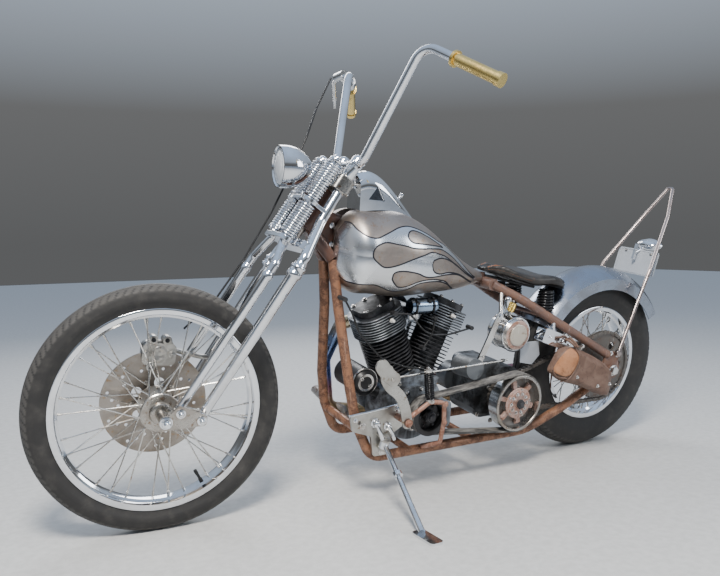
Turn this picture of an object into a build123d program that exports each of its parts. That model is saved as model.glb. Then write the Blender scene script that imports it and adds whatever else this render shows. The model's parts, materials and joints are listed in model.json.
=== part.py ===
from build123d import *
import math
import os

os.makedirs("parts", exist_ok=True)

# A rigid-frame chopper with a springer fork, modelled upright in millimetres.
# X is forward, Y is to the rider's left, Z is up, and the rear axle stands over X = 0.
# At the end every piece is leaned onto the side stand and moved over the origin.

# Driving dimensions
wheelbase = 1620
front_radius = 343
rear_radius = 330
front_section = 41
rear_section = 63.5
rake = 34
axle_lead = 60
parked_lean = 8
parked_steer = -6.5
wheel_gap = 0.5

# The steering axis passes axle_lead behind the front axle, square to the axis
axis_x = wheelbase - axle_lead * math.cos(math.radians(rake))
axis_z = front_radius - axle_lead * math.sin(math.radians(rake))


def steered(forward, left, up):
    """Bike position of a point given square to, beside and along the steering axis."""
    turn = math.radians(rake)
    x = axis_x + forward * math.cos(turn) - up * math.sin(turn)
    z = axis_z + forward * math.sin(turn) + up * math.cos(turn)
    return (x, left, z)


def bent_tube(points, bends, radius):
    """Add a round tube along straight runs joined by arcs."""
    with BuildLine() as path:
        FilletPolyline(*points, radius=bends)
    with BuildSketch(Plane(origin=path.line @ 0, z_dir=path.line % 0)) as section:
        Circle(radius)
    sweep(sections=section.sketch, path=path.line)


on_end = (Align.CENTER, Align.CENTER, Align.MIN)


def rod(start, end, radius, end_radius=None, mode=Mode.ADD):
    """Add a straight round bar, or a cone where the end radius differs."""
    a = Vector(*start)
    b = Vector(*end)
    with Locations(Plane(origin=a, z_dir=b - a)):
        if end_radius is None:
            Cylinder(radius, (b - a).length, align=on_end, mode=mode)
        else:
            Cone(radius, end_radius, (b - a).length, align=on_end, mode=mode)


def cross_rod(x, z, y_low, y_high, radius):
    """Add a round bar that lies across the bike, between two Y places."""
    rod((x, y_low, z), (x, y_high, z), radius)


# Wheels are turned about their own axles, with the axle along Y through the origin

front_rim_radius = 280
front_rim_half = 31
rear_rim_radius = 217
rear_rim_half = 46
rim_wall = 4
bead_depth = 12


def tyre_section(radius, section, rim_radius, rim_half):
    """Closed tyre section with a round crown, standing on the bead seats of its rim."""
    bead = rim_radius - bead_depth
    with BuildSketch(Plane.XY) as profile:
        with BuildLine():
            Line((bead, -rim_half + rim_wall + wheel_gap), (bead, rim_half - rim_wall - wheel_gap))
            Polyline(
                (bead, rim_half - rim_wall - wheel_gap), (rim_radius + 1, rim_half - rim_wall - wheel_gap),
                (rim_radius + 5, rim_half + 1),
            )
            ThreePointArc(
                (rim_radius + 5, rim_half + 1),
                (radius - section * 1.02, section),
                (radius - section * 0.34, section * 0.8),
            )
            ThreePointArc(
                (radius - section * 0.34, section * 0.8),
                (radius, 0),
                (radius - section * 0.34, -section * 0.8),
            )
            ThreePointArc(
                (radius - section * 0.34, -section * 0.8),
                (radius - section * 1.02, -section),
                (rim_radius + 5, -rim_half - 1),
            )
            Polyline(
                (rim_radius + 5, -rim_half - 1), (rim_radius + 1, -rim_half + rim_wall + wheel_gap),
                (bead, -rim_half + rim_wall + wheel_gap),
            )
        make_face()
    return profile.sketch


def rim_section(rim_radius, rim_half):
    """Rolled rim with upright flanges, bead seats and a drop centre."""
    seat = rim_radius - bead_depth - 1
    well = seat - 9
    outside = [
        (rim_radius, rim_half),
        (rim_radius, rim_half - rim_wall),
        (seat, rim_half - rim_wall),
        (seat - 2, rim_half * 0.5),
        (well, rim_half * 0.36),
    ]
    inside = [
        (well - rim_wall, rim_half * 0.4),
        (seat - 2 - rim_wall, rim_half * 0.58),
        (seat - rim_wall, rim_half - 1),
    ]
    near = outside + [(x, -y) for x, y in reversed(outside)]
    far = [(x, -y) for x, y in reversed(inside)] + inside
    with BuildSketch(Plane.XY) as profile:
        with BuildLine():
            Polyline(*near, *far, close=True)
        make_face()
    return profile.sketch


with BuildPart() as front_tyre:
    revolve(tyre_section(front_radius, front_section, front_rim_radius, front_rim_half), axis=Axis.Y)

with BuildPart() as rear_tyre:
    revolve(tyre_section(rear_radius, rear_section, rear_rim_radius, rear_rim_half), axis=Axis.Y)

# Hubs are turned from half profiles: pairs of radius and Y
spoke_radius = 2
spoke_lean = 52


def wire_wheel(rim_radius, rim_half, hub_outline, flanges, spokes_each, bore):
    """Add rim, turned hub and crossed spokes between the hub flanges and the rim."""
    revolve(rim_section(rim_radius, rim_half), axis=Axis.Y)
    with BuildSketch(Plane.XY) as hub:
        with BuildLine():
            Polyline(*hub_outline, close=True)
        make_face()
    revolve(hub.sketch, axis=Axis.Y)
    rim_reach = rim_radius - bead_depth - 12
    for flange_y, flange_radius, offset in flanges:
        for index in range(spokes_each):
            angle = 360 / spokes_each * index + offset
            turn = spoke_lean if index % 2 else -spoke_lean
            inner = math.radians(angle)
            outer = math.radians(angle + turn * 0.62)
            side = flange_y + (2.5 if index % 2 else -2.5)
            start = (flange_radius * math.cos(inner), side, flange_radius * math.sin(inner))
            end = (rim_reach * math.cos(outer), flange_y * 0.12, rim_reach * math.sin(outer))
            rod(start, end, spoke_radius)


front_axle_bore = 10.5
rear_axle_bore = 10.5
front_hub_outline = [
    (front_axle_bore, -56), (30, -56), (30, -50), (50, -50), (50, -42), (26, -36),
    (26, 30), (48, 34), (52, 40), (52, 46), (30, 50), (20, 58), (front_axle_bore, 58),
]
rear_hub_outline = [
    (rear_axle_bore, -62), (34, -62), (38, -52), (56, -48), (56, -42), (32, -36),
    (32, 34), (60, 40), (60, 48), (96, 48), (100, 54), (100, 66), (40, 70), (rear_axle_bore, 70),
]

with BuildPart() as front_wire_wheel:
    wire_wheel(
        front_rim_radius, front_rim_half, front_hub_outline,
        [(43, 44, 0), (-46, 44, 9)], 20, front_axle_bore,
    )

with BuildPart() as rear_wire_wheel:
    wire_wheel(
        rear_rim_radius, rear_rim_half, rear_hub_outline,
        [(44, 52, 0), (-45, 50, 9)], 20, rear_axle_bore,
    )

# Drilled brake disc, carried on the right of the front hub
disc_radius = 146
disc_inner = 78
disc_middle_y = -66
disc_wall = 5

disc_drilling = [
    # radius of the ring, number of holes, angle of the first
    (96, 10, 0),
    (113, 10, 9),
    (129, 10, 18),
]

with BuildPart() as front_disc:
    with BuildSketch(Plane.XZ.offset(-disc_middle_y - disc_wall / 2)):
        Circle(disc_radius)
        Circle(disc_inner, mode=Mode.SUBTRACT)
        for ring, count, first in disc_drilling:
            with PolarLocations(ring, count, start_angle=first):
                Circle(4.5, mode=Mode.SUBTRACT)
    extrude(amount=disc_wall)
    with BuildSketch(Plane.XZ.offset(-disc_middle_y)):
        Circle(disc_inner + 4)
        Circle(22, mode=Mode.SUBTRACT)
        with PolarLocations(56, 5):
            Circle(14, mode=Mode.SUBTRACT)
    extrude(amount=disc_wall / 2)
    with BuildSketch(Plane.XZ.offset(56)):
        Circle(28)
        Circle(front_axle_bore + 1, mode=Mode.SUBTRACT)
    extrude(amount=10)

# Rear sprocket, bolted to the left of the rear drum
chain_y = 85
chain_pitch = 15.875
rear_teeth = 51
front_teeth = 24
rear_sprocket_radius = chain_pitch / (2 * math.sin(math.pi / rear_teeth))
front_sprocket_radius = chain_pitch / (2 * math.sin(math.pi / front_teeth))
sprocket_wall = 6
tooth_height = 3.5

with BuildPart() as rear_sprocket:
    with BuildSketch(Plane.XZ.offset(-chain_y - sprocket_wall / 2)):
        Circle(rear_sprocket_radius - 2 * tooth_height)
        with PolarLocations(rear_sprocket_radius - 2 * tooth_height, rear_teeth):
            Rectangle(tooth_height * 3, chain_pitch * 0.42)
        Circle(rear_axle_bore + 1, mode=Mode.SUBTRACT)
        with PolarLocations(84, 6):
            Circle(15, mode=Mode.SUBTRACT)
    extrude(amount=sprocket_wall)
    with BuildSketch(Plane.XZ.offset(-70)):
        Circle(62)
        Circle(rear_axle_bore + 1, mode=Mode.SUBTRACT)
    extrude(amount=-(chain_y - sprocket_wall / 2 - 70))

# Springer fork, given as forward of the axis, left of the middle and up along the axis

leg_y = 118
leg_n = -18
rigid_pivot_u = 48
spring_leg_y = 108
spring_leg_n = 40
spring_pivot_u = 38
rocker_y = 134
rocker_wall = 6
column_y = 56
column_n = 40
crown_u = 590
perch_u = 704
top_tree_u = 775
top_tree_height = 46
cap_u = 842

fork_plane = Plane(
    origin=(axis_x, 0, axis_z),
    x_dir=(math.cos(math.radians(rake)), 0, math.sin(math.radians(rake))),
    z_dir=(-math.sin(math.radians(rake)), 0, math.cos(math.radians(rake))),
)

with BuildPart() as fork_legs:
    for side in (1, -1):
        rod((leg_n, side * leg_y, rigid_pivot_u), (leg_n, side * leg_y, 500), 13.5, 18)
        rod((leg_n, side * leg_y, 500), (leg_n, side * leg_y, 530), 22)
        bent_tube(
            [
                (leg_n, side * leg_y, 520),
                (leg_n, side * leg_y, 556),
                (leg_n, side * 62, 676),
                (leg_n, side * 50, top_tree_u + 10),
            ],
            [40, 60],
            15,
        )
        cross = (leg_n, side * (leg_y - 14), rigid_pivot_u)
        rod(cross, (leg_n, side * rocker_y, rigid_pivot_u), 18)
    with BuildSketch(Plane.XY.offset(crown_u - 16)):
        with Locations((leg_n + 4, 0)):
            SlotOverall(2 * leg_y - 10, 44, rotation=90)
    extrude(amount=26)
    with BuildSketch(Plane.XY.offset(perch_u - 7)):
        with Locations((column_n, column_y), (column_n, -column_y)):
            Circle(27)
        with Locations((column_n + 16, 0)):
            Rectangle(40, 2 * column_y)
        with Locations((column_n / 2 - 8, 62), (column_n / 2 - 8, -62)):
            Rectangle(56, 20)
        with Locations((column_n, column_y), (column_n, -column_y)):
            Circle(8.5, mode=Mode.SUBTRACT)
    extrude(amount=12)
    with BuildSketch(Plane.XY.offset(top_tree_u)):
        with Locations((-15, 0)):
            RectangleRounded(56, 146, 14)
    extrude(amount=top_tree_height)
    with BuildSketch(Plane.XY.offset(crown_u)):
        Circle(12.5)
    extrude(amount=top_tree_u - crown_u)
    with BuildSketch(Plane.XY.offset(top_tree_u + top_tree_height)):
        RegularPolygon(21, 6)
    extrude(amount=20)
    with Locations((0, 0, top_tree_u + top_tree_height + 20)):
        Cone(18, 10, 12, align=(Align.CENTER, Align.CENTER, Align.MIN))

with BuildPart() as spring_legs:
    for side in (1, -1):
        rod((spring_leg_n, side * spring_leg_y, spring_pivot_u), (spring_leg_n, side * spring_leg_y, 470), 10.5, 14)
        bent_tube(
            [
                (spring_leg_n, side * spring_leg_y, 460),
                (spring_leg_n, side * spring_leg_y, 500),
                (column_n, side * column_y, 572),
                (column_n, side * column_y, perch_u - 120),
            ],
            [26, 8],
            12,
        )
        rod((column_n, side * column_y, 570), (column_n, side * column_y, cap_u), 8)
        rod((column_n, side * column_y, cap_u - 6), (column_n, side * column_y, cap_u + 4), 20)
        rod((column_n, side * column_y, cap_u + 4), (column_n, side * column_y, cap_u + 18), 12)
        foot = (spring_leg_n, side * (spring_leg_y - 12), spring_pivot_u)
        rod(foot, (spring_leg_n, side * rocker_y, spring_pivot_u), 14)
    with BuildSketch(Plane.XY.offset(570)):
        with Locations((column_n, 0)):
            SlotOverall(2 * column_y + 56, 46, rotation=90)
    extrude(amount=14)

with BuildPart() as front_axle:
    rod((axle_lead, -148, 0), (axle_lead, 148, 0), 10)
    for side in (1, -1):
        rod((axle_lead, side * (62 if side > 0 else 70), 0), (axle_lead, side * rocker_y, 0), 15)
        inner_face = -rocker_y if side > 0 else rocker_y + rocker_wall
        with BuildSketch(Plane.XZ.offset(inner_face)):
            with BuildLine():
                Polyline(
                    (axle_lead + 14, -12), (axle_lead + 4, 18), (spring_leg_n + 14, spring_pivot_u + 16),
                    (leg_n - 4, rigid_pivot_u + 18), (leg_n - 18, rigid_pivot_u - 4),
                    (axle_lead - 12, -18), close=True,
                )
            make_face()
            fillet(vertices(), 8)
        extrude(amount=-rocker_wall)

# Coil springs: lower pair below the perch, upper pair above it
spring_rows = [
    # bottom, top, coil radius, wire radius, turns
    (586, perch_u - 9, 23, 4.2, 9),
    (perch_u + 7, cap_u - 8, 18, 3.6, 9),
]

with BuildPart() as fork_springs:
    for bottom, top, coil, wire, turns in spring_rows:
        for side in (1, -1):
            pitch = (top - bottom - 2 * wire) / turns
            for turn in range(turns + 1):
                level = bottom + wire + turn * pitch
                with Locations((column_n, side * column_y, level)):
                    Torus(coil, wire)
            with BuildSketch(Plane.XY.offset(bottom)):
                with Locations((column_n, side * column_y)):
                    Circle(coil - wire * 0.3)
                    Circle(coil - wire * 1.2, mode=Mode.SUBTRACT)
            extrude(amount=top - bottom)

# Headlight: a spun shell with a bezel, held by a bracket on the perch
lamp_radius = 60
lamp_plane = Plane(
    origin=(152, 0, 741),
    x_dir=(0, 1, 0),
    z_dir=(math.cos(math.radians(rake)), 0, -math.sin(math.radians(rake))),
)
lamp_length = 96

with BuildPart() as headlight:
    with BuildSketch(Plane.XZ):
        with BuildLine():
            Polyline((0, 0), (lamp_radius - 6, 0), (lamp_radius - 4, 4), (lamp_radius, 4), (lamp_radius, -10))
            ThreePointArc((lamp_radius, -10), (lamp_radius * 0.82, -58), (12, -lamp_length))
            Polyline((12, -lamp_length), (0, -lamp_length), (0, 0))
        make_face()
    revolve(axis=Axis.Z)
    with BuildSketch(Plane.XY):
        Circle(lamp_radius - 8)
    extrude(amount=-14, mode=Mode.SUBTRACT)

with BuildPart() as headlight_lens:
    with BuildSketch(Plane.XZ):
        with BuildLine():
            ThreePointArc((0, 7), (30, 4.5), (lamp_radius - 9, -3))
            Polyline((lamp_radius - 9, -3), (lamp_radius - 9, -8), (0, -8), (0, 7))
        make_face()
    revolve(axis=Axis.Z)

# Handlebar: one bent bar in two risers, rising, spreading and then pulled back
bar_radius = 12.7
bar_low_u = 868
bar_low_n = -16
bar_top_y = 245
bar_top_n = 76
bar_top_u = 1184
grip_end = (-68, 455, 1150)
grip_start_part = 0.42

bar_half = [
    (bar_low_n, 0, bar_low_u),
    (bar_low_n, 92, bar_low_u),
    (bar_top_n, bar_top_y, bar_top_u),
]


def along(a, b, part):
    """Point at a part of the way from a to b."""
    return tuple(p + (q - p) * part for p, q in zip(a, b))


with BuildPart() as handlebar:
    for side in (1, -1):
        points = [(n, side * y, u) for n, y, u in bar_half]
        top = points[-1]
        end = (grip_end[0], side * grip_end[1], grip_end[2])
        bent_tube(points + [end], [46, 52], bar_radius)
    for side in (1, -1):
        rod((bar_low_n, side * 52, top_tree_u + top_tree_height), (bar_low_n, side * 52, bar_low_u + 20), 19)
        rod((bar_low_n, side * 52, bar_low_u + 20), (bar_low_n, side * 52, bar_low_u + 30), 19, 9)

with BuildPart() as grips:
    for side in (1, -1):
        top = (bar_top_n, side * bar_top_y, bar_top_u)
        end = (grip_end[0], side * grip_end[1], grip_end[2])
        start = along(top, end, grip_start_part)
        rod(start, along(top, end, grip_start_part + 0.03), 22)
        rod(start, along(top, end, 1.02), 16.5)
        rod(along(top, end, 0.97), along(top, end, 1.03), 19)
        rod(top, end, bar_radius, mode=Mode.SUBTRACT)

# Front brake: lever and cylinder on the right, line, and caliper on the right leg
with BuildPart() as brake_lever:
    top = (bar_top_n, -bar_top_y, bar_top_u)
    end = (grip_end[0], -grip_end[1], grip_end[2])
    clamp = along(top, end, 0.24)
    rod(clamp, along(top, end, 0.34), 19)
    body = along(top, end, 0.29)
    rod((body[0] + 12, body[1], body[2]), (body[0] + 44, body[1] - 6, body[2] + 2), 13)
    rod((body[0] + 40, body[1] + 26, body[2] + 2), (body[0] + 40, body[1] - 34, body[2] - 2), 14)
    bent_tube(
        [
            (body[0] + 40, body[1] - 30, body[2] - 4),
            (body[0] + 30, body[1] - 62, body[2] - 12),
            (body[0] - 52, body[1] - 186, body[2] - 34),
        ],
        [40],
        6,
    )
    add(handlebar.part, mode=Mode.SUBTRACT)

with BuildPart() as brake_line:
    bent_tube(
        [
            (108, -262, 1130), (104, -216, 1010), (96, -150, 900), (84, -116, 780), (66, -116, 640),
            (58, -112, 480), (64, -106, 330), (96, -96, 214),
        ],
        [60, 60, 60, 60, 60, 60],
        3,
    )

with BuildPart() as caliper:
    with BuildSketch(Plane.XZ.offset(-disc_middle_y + 5)):
        with Locations((axle_lead + 66, 122)):
            RectangleRounded(62, 92, 16, rotation=62)
    extrude(amount=26)
    with BuildSketch(Plane.XZ.offset(-disc_middle_y - 5)):
        with Locations((axle_lead + 66, 122)):
            RectangleRounded(62, 92, 16, rotation=62)
    extrude(amount=-14)
    with BuildSketch(Plane.XZ.offset(-disc_middle_y - 6)):
        with Locations((axle_lead + 76, 146)):
            RectangleRounded(22, 70, 8, rotation=62)
    extrude(amount=12)
    bent_tube([(116, -86, 140), (10, -86, 172), (leg_n, -(leg_y - 8), 182)], [12], 7)
    add(fork_legs.part, mode=Mode.SUBTRACT)

# Rigid frame: neck forging, backbone, downtubes, lower rails and rear stays
neck_bottom_u = 640
neck_top_u = top_tree_u - 6
neck_radius = 29

neck_low = steered(0, 0, neck_bottom_u)
neck_high = steered(0, 0, neck_top_u)
seat_joint = (530, 0, 654)
seat_joint_half = 60
seat_post_top = 687
rail_y = 118
rail_z = 146
axle_plate_y = 128

# Rear fender, an arched strip from one angle to another about the rear axle
fender_crown = 365
fender_skirt = 288
fender_side = 40
fender_half = 84
fender_wall = 2.5
fender_front = 30
fender_rear = 146
fender_bar_radius = 8

with BuildPart() as rear_stays:
    cross_rod(seat_joint[0], seat_joint[2], -seat_joint_half, seat_joint_half, 20)
    fender_bar = math.radians(fender_front + 4)
    fender_bar_reach = fender_crown + fender_bar_radius
    cross_rod(
        fender_bar_reach * math.cos(fender_bar), rear_radius + fender_bar_reach * math.sin(fender_bar),
        -98, 98, fender_bar_radius,
    )
    for side in (1, -1):
        bent_tube(
            [(seat_joint[0], side * 52, seat_joint[2]), (430, side * 92, 606), (20, side * 126, 386)],
            [200],
            15.5,
        )
        with BuildSketch(Plane.XZ.offset(-side * axle_plate_y + 4)):
            with BuildLine():
                Polyline((34, 400), (-30, 392), (-44, 330), (-30, 296), (40, 284), (44, 320), close=True)
            make_face()
            fillet(vertices(), 8)
        extrude(amount=-8)
        rod((0, side * 130, rear_radius), (0, side * 144, rear_radius), 16)
        rod((0, side * (92 if side > 0 else 66), rear_radius), (0, side * 126, rear_radius), 15)
    cross_rod(0, rear_radius, -146, 146, 10)

with BuildPart() as backbone:
    bent_tube([(1150, 0, 872), (1010, 0, 838), seat_joint], [260], 19)
    rod((seat_joint[0] + 6, 0, seat_joint[2]), (seat_joint[0] + 6, 0, seat_post_top), 12)
    rod(neck_low, neck_high, neck_radius)
    with BuildSketch(Plane.XZ.offset(-15)):
        with BuildLine():
            Polyline(
                (neck_high[0], neck_high[2]), (1122, 905), (1118, 850), (1108, 742), (1146, 740),
                (neck_low[0], neck_low[2]), close=True,
            )
        make_face()
        fillet(vertices(), 6)
    extrude(amount=30)
    for side in (1, -1):
        rod((1170, side * 10, 812), (1126, side * 30, 750), 20, 17)
    with Locations(Plane(origin=steered(0, 0, neck_bottom_u - 30), z_dir=fork_plane.z_dir)):
        Cylinder(13.5, neck_top_u - neck_bottom_u + 34, align=on_end, mode=Mode.SUBTRACT)
    add(rear_stays.part, mode=Mode.SUBTRACT)

with BuildPart() as cradle_tubes:
    for side in (1, -1):
        bent_tube(
            [
                (1122, side * 31, 748), (1103, side * 45, 605), (1076, side * 93, 369),
                (1056, side * 106, 262), (1004, side * rail_y, rail_z), (950, side * rail_y, rail_z),
            ],
            [200, 200, 100, 60],
            15.5,
        )
    cross_rod(1044, 236, -104, 104, 13)
    for side in (1, -1):
        bent_tube(
            [
                (950, side * rail_y, rail_z), (380, side * rail_y, rail_z),
                (210, side * 122, 212), (10, side * 126, 316),
            ],
            [260, 260],
            15.5,
        )
    for x in (860, 610, 360):
        cross_rod(x, rail_z, -rail_y, rail_y, 12)
    add(backbone.part, mode=Mode.SUBTRACT)
    add(rear_stays.part, mode=Mode.SUBTRACT)

# Engine: crankcase, two finned cylinders in a 45 degree V, carburettor and pipes
crank_x = 822
crank_z = 268
v_half = 22.5
engine_half = 62
barrel_start = 118
fin_wall = 3.2
head_cap_start = 340
head_cap_end = 362

fin_rows = [
    # first fin along the cylinder, number of fins, pitch, half size
    (130, 11, 12, 71),
    (268, 9, 8.6, 80),
]

cylinders = {}
for name, tilt in (("front_cylinder", v_half), ("rear_cylinder", -v_half)):
    with BuildPart() as cylinder:
        with BuildSketch(Plane.XY.offset(barrel_start)):
            Circle(54)
        extrude(amount=head_cap_start - barrel_start + 1)
        for first, count, pitch, half in fin_rows:
            for index in range(count):
                with BuildSketch(Plane.XY.offset(first + index * pitch)):
                    RectangleRounded(2 * half, 2 * half - 6, half - 20)
                extrude(amount=fin_wall)
        with BuildSketch(Plane.XY.offset(head_cap_start)):
            RectangleRounded(122, 108, 34)
        extrude(amount=head_cap_end - head_cap_start)
        turn = math.radians(tilt)
        outward = 1 if tilt > 0 else -1
        middle = Plane(
            origin=(outward * math.cos(turn), 0, outward * math.sin(turn)),
            z_dir=(outward * math.cos(turn), 0, outward * math.sin(turn)),
        )
        split(bisect_by=middle, keep=Keep.TOP)
    cylinders[name] = (cylinder, Pos(crank_x, 0, crank_z) * Rot(0, tilt, 0))

with BuildPart() as crankcase:
    with BuildSketch(Plane.XZ.offset(engine_half)):
        Circle(110)
        for tilt in (v_half, -v_half):
            turn = math.radians(tilt)
            with Locations(Location((84 * math.sin(turn), 84 * math.cos(turn), 0), (0, 0, -tilt))):
                Rectangle(112, 68)
        with Locations((-96, -44)):
            RectangleRounded(120, 90, 16)
    extrude(amount=-2 * engine_half)
    with BuildSketch(Plane.XZ.offset(-engine_half)):
        Circle(74)
    extrude(amount=-22)
    with BuildSketch(Plane.XZ.offset(engine_half)):
        with Locations((34, 24)):
            RectangleRounded(190, 130, 52)
    extrude(amount=40)
    for name, tilt in (("front_cylinder", v_half), ("rear_cylinder", -v_half)):
        add(cylinders[name][0].part.moved(Rot(0, tilt, 0)), mode=Mode.SUBTRACT)

intake_z = 566
air_cleaner_z = 540

with BuildPart() as intake:
    rod((crank_x - 50, 0, intake_z), (crank_x + 50, 0, intake_z), 21)
    rod((crank_x, 34, intake_z), (crank_x, -106, intake_z), 25)
    rod((crank_x, -104, air_cleaner_z), (crank_x, -148, air_cleaner_z), 72)
    for cylinder, place in cylinders.values():
        add(cylinder.part.moved(place), mode=Mode.SUBTRACT)

# Pipes on the right; the lower one ends in a turned slip joint for a silencer
pipe_radius = 21
slip_radius = 19
slip_length = 60
swage_length = 12
lower_pipe_end = (60, -176, 186)
slip_start = (lower_pipe_end[0] + slip_length, lower_pipe_end[1], lower_pipe_end[2])
swage_start = (slip_start[0] + swage_length, slip_start[1], slip_start[2])

with BuildPart() as exhaust:
    bent_tube(
        [
            (966, -60, 540), (1010, -104, 516), (1046, -140, 390), (1010, -168, 210),
            (900, lower_pipe_end[1], lower_pipe_end[2]), swage_start,
        ],
        [40, 60, 60, 50],
        pipe_radius,
    )
    rod(swage_start, slip_start, pipe_radius, slip_radius)
    rod(slip_start, lower_pipe_end, slip_radius)
    bent_tube(
        [(672, -60, 540), (640, -128, 490), (612, -160, 300), (560, -164, 262), (90, -176, 262)],
        [40, 60, 34],
        pipe_radius,
    )
    for cylinder, place in cylinders.values():
        add(cylinder.part.moved(place), mode=Mode.SUBTRACT)

generator_x = 1006
generator_z = 370

with BuildPart() as generator:
    cross_rod(generator_x, generator_z, -62, 60, 42)
    rod((generator_x, 60, generator_z), (generator_x, 70, generator_z), 36, 28)
    rod((905, 0, 300), (generator_x, 0, generator_z - 20), 16)
    add(crankcase.part.moved(Pos(crank_x, 0, crank_z)), mode=Mode.SUBTRACT)

# Gearbox and primary drive
clutch_x = 462
clutch_z = 267
gearbox_half = 70
drum_radius = 96
pulley_radius = 54
belt_wall = 6
belt_gap = 0.3
belt_y = 142
belt_width = 38
flange_wall = 4
drive_inner_y = belt_y - belt_width / 2 - 1
drive_outer_y = belt_y + belt_width / 2 + 1

with BuildPart() as gearbox:
    with BuildSketch(Plane.XZ.offset(gearbox_half)):
        with Locations((clutch_x + 16, clutch_z + 10)):
            RectangleRounded(190, 170, 40)
        with Locations((clutch_x + 60, clutch_z + 84)):
            RectangleRounded(110, 80, 24)
    extrude(amount=-2 * gearbox_half + 10)
    rod((622, 30, 380), (630, 126, 392), 34)
    rod((560, 40, 350), (622, 40, 380), 26)
    rod((clutch_x, 58, clutch_z), (clutch_x, drive_inner_y, clutch_z), 20)
    rod((clutch_x, 82, clutch_z), (clutch_x, 88, clutch_z), front_sprocket_radius - 4)
    rod((560, -60, 300), (560, -112, 300), 50)

with BuildPart() as front_pulley:
    cross_rod(crank_x, crank_z, 84, drive_inner_y, 20)
    cross_rod(crank_x, crank_z, drive_inner_y - flange_wall, drive_inner_y, pulley_radius + 7)
    cross_rod(crank_x, crank_z, drive_inner_y, drive_outer_y, pulley_radius)
    cross_rod(crank_x, crank_z, drive_outer_y, drive_outer_y + flange_wall, pulley_radius + 7)
    with BuildSketch(Plane.XZ.offset(-drive_outer_y - flange_wall)):
        with Locations((crank_x, crank_z)):
            Circle(pulley_radius - 8)
            Circle(20, mode=Mode.SUBTRACT)
    extrude(amount=18, mode=Mode.SUBTRACT)

with BuildPart() as clutch_drum:
    cross_rod(clutch_x, clutch_z, drive_inner_y, drive_outer_y + flange_wall, drum_radius)
    rod(
        (clutch_x, drive_inner_y + 14, clutch_z), (clutch_x, drive_outer_y + flange_wall, clutch_z),
        drum_radius - 8, mode=Mode.SUBTRACT,
    )
    cross_rod(clutch_x, clutch_z, drive_inner_y + 10, drive_outer_y - 4, 52)
    cross_rod(clutch_x, clutch_z, drive_outer_y - 6, drive_outer_y + 8, 16)


def loop_outline(rear, rear_reach, front, front_reach):
    """Closed outline of a belt or chain round two wheels, given as X and Z centres."""
    run = math.hypot(front[0] - rear[0], front[1] - rear[1])
    tilt = math.atan2(front[1] - rear[1], front[0] - rear[0])
    lead = math.acos((rear_reach - front_reach) / run)

    def at(centre, reach, turn):
        return (centre[0] + reach * math.cos(turn), centre[1] + reach * math.sin(turn))

    with BuildLine() as loop:
        Line(at(rear, rear_reach, tilt + lead), at(front, front_reach, tilt + lead))
        ThreePointArc(
            at(front, front_reach, tilt + lead), at(front, front_reach, tilt),
            at(front, front_reach, tilt - lead),
        )
        Line(at(front, front_reach, tilt - lead), at(rear, rear_reach, tilt - lead))
        ThreePointArc(
            at(rear, rear_reach, tilt - lead), at(rear, -rear_reach, tilt), at(rear, rear_reach, tilt + lead),
        )
    return loop.line


def add_loop(middle_y, width, rear, rear_reach, front, front_reach, wall):
    """Add a flat loop of the given wall, its inside reaching round the two wheels."""
    with BuildSketch(Plane.XZ.offset(-middle_y + width / 2)) as ring:
        make_face(loop_outline(rear, rear_reach + wall, front, front_reach + wall))
        make_face(loop_outline(rear, rear_reach, front, front_reach), mode=Mode.SUBTRACT)
    extrude(ring.sketch, amount=-width)


with BuildPart() as primary_belt:
    add_loop(
        belt_y, belt_width, (clutch_x, clutch_z), drum_radius + belt_gap,
        (crank_x, crank_z), pulley_radius + belt_gap, belt_wall,
    )

# Final chain as one fixed loop round the two sprockets
chain_height = 14

with BuildPart() as drive_chain:
    add_loop(
        chain_y, 16, (0, rear_radius), rear_sprocket_radius,
        (clutch_x, clutch_z), front_sprocket_radius - 2, chain_height,
    )

# Oil tank with its brackets and strap, battery box and tool bag
oil_x = 463
oil_z = 493

with BuildPart() as oil_tank:
    cross_rod(oil_x, oil_z, 40, 118, 59)
    rod((oil_x, 118, oil_z), (oil_x, 126, oil_z), 55, 50)
    cross_rod(oil_x, oil_z, 126, 131, 36)
    rod((472, 80, 540), (454, 80, 612), 7)
    rod((522, 100, 556), (500, 66, 636), 7)
    with BuildSketch(Plane.XZ.offset(-97)) as strap:
        with BuildLine():
            Line((522, 566), (602, 392))
        trace(line_width=22)
    extrude(amount=-6)
    rod((500, 97, 530), (530, 100, 530), 6)
    add(rear_stays.part, mode=Mode.SUBTRACT)
    add(gearbox.part, mode=Mode.SUBTRACT)

with BuildPart() as battery_box:
    with BuildSketch(Plane.XZ.offset(-98)):
        with Locations((283, 463)):
            RectangleRounded(153, 50, 7, rotation=20)
    extrude(amount=-41)
    rod((290, 114, 482), (290, 110, 530), 6)
    add(rear_stays.part, mode=Mode.SUBTRACT)

with BuildPart() as tool_bag:
    with BuildSketch(Plane.XZ.offset(-140)):
        with BuildLine():
            Polyline((292, 448), (346, 366), (252, 306), (46, 246), (44, 336), (262, 428), close=True)
        make_face()
        fillet(vertices(), 14)
    extrude(amount=-46)
    rod((188, 146, 386), (188, 118, 474), 5)
    add(rear_stays.part, mode=Mode.SUBTRACT)
    add(cradle_tubes.part, mode=Mode.SUBTRACT)

# Fuel tank halves either side of the backbone, lofted through half sections
tank_sections = [
    # x, lowest z, highest z, half width
    (1120, 716, 838, 62),
    (1094, 674, 874, 116),
    (1030, 648, 893, 146),
    (940, 636, 894, 152),
    (800, 640, 838, 132),
    (680, 646, 752, 92),
    (562, 662, 692, 38),
]
tank_inner_y = 24
tunnel_radius = 30

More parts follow.
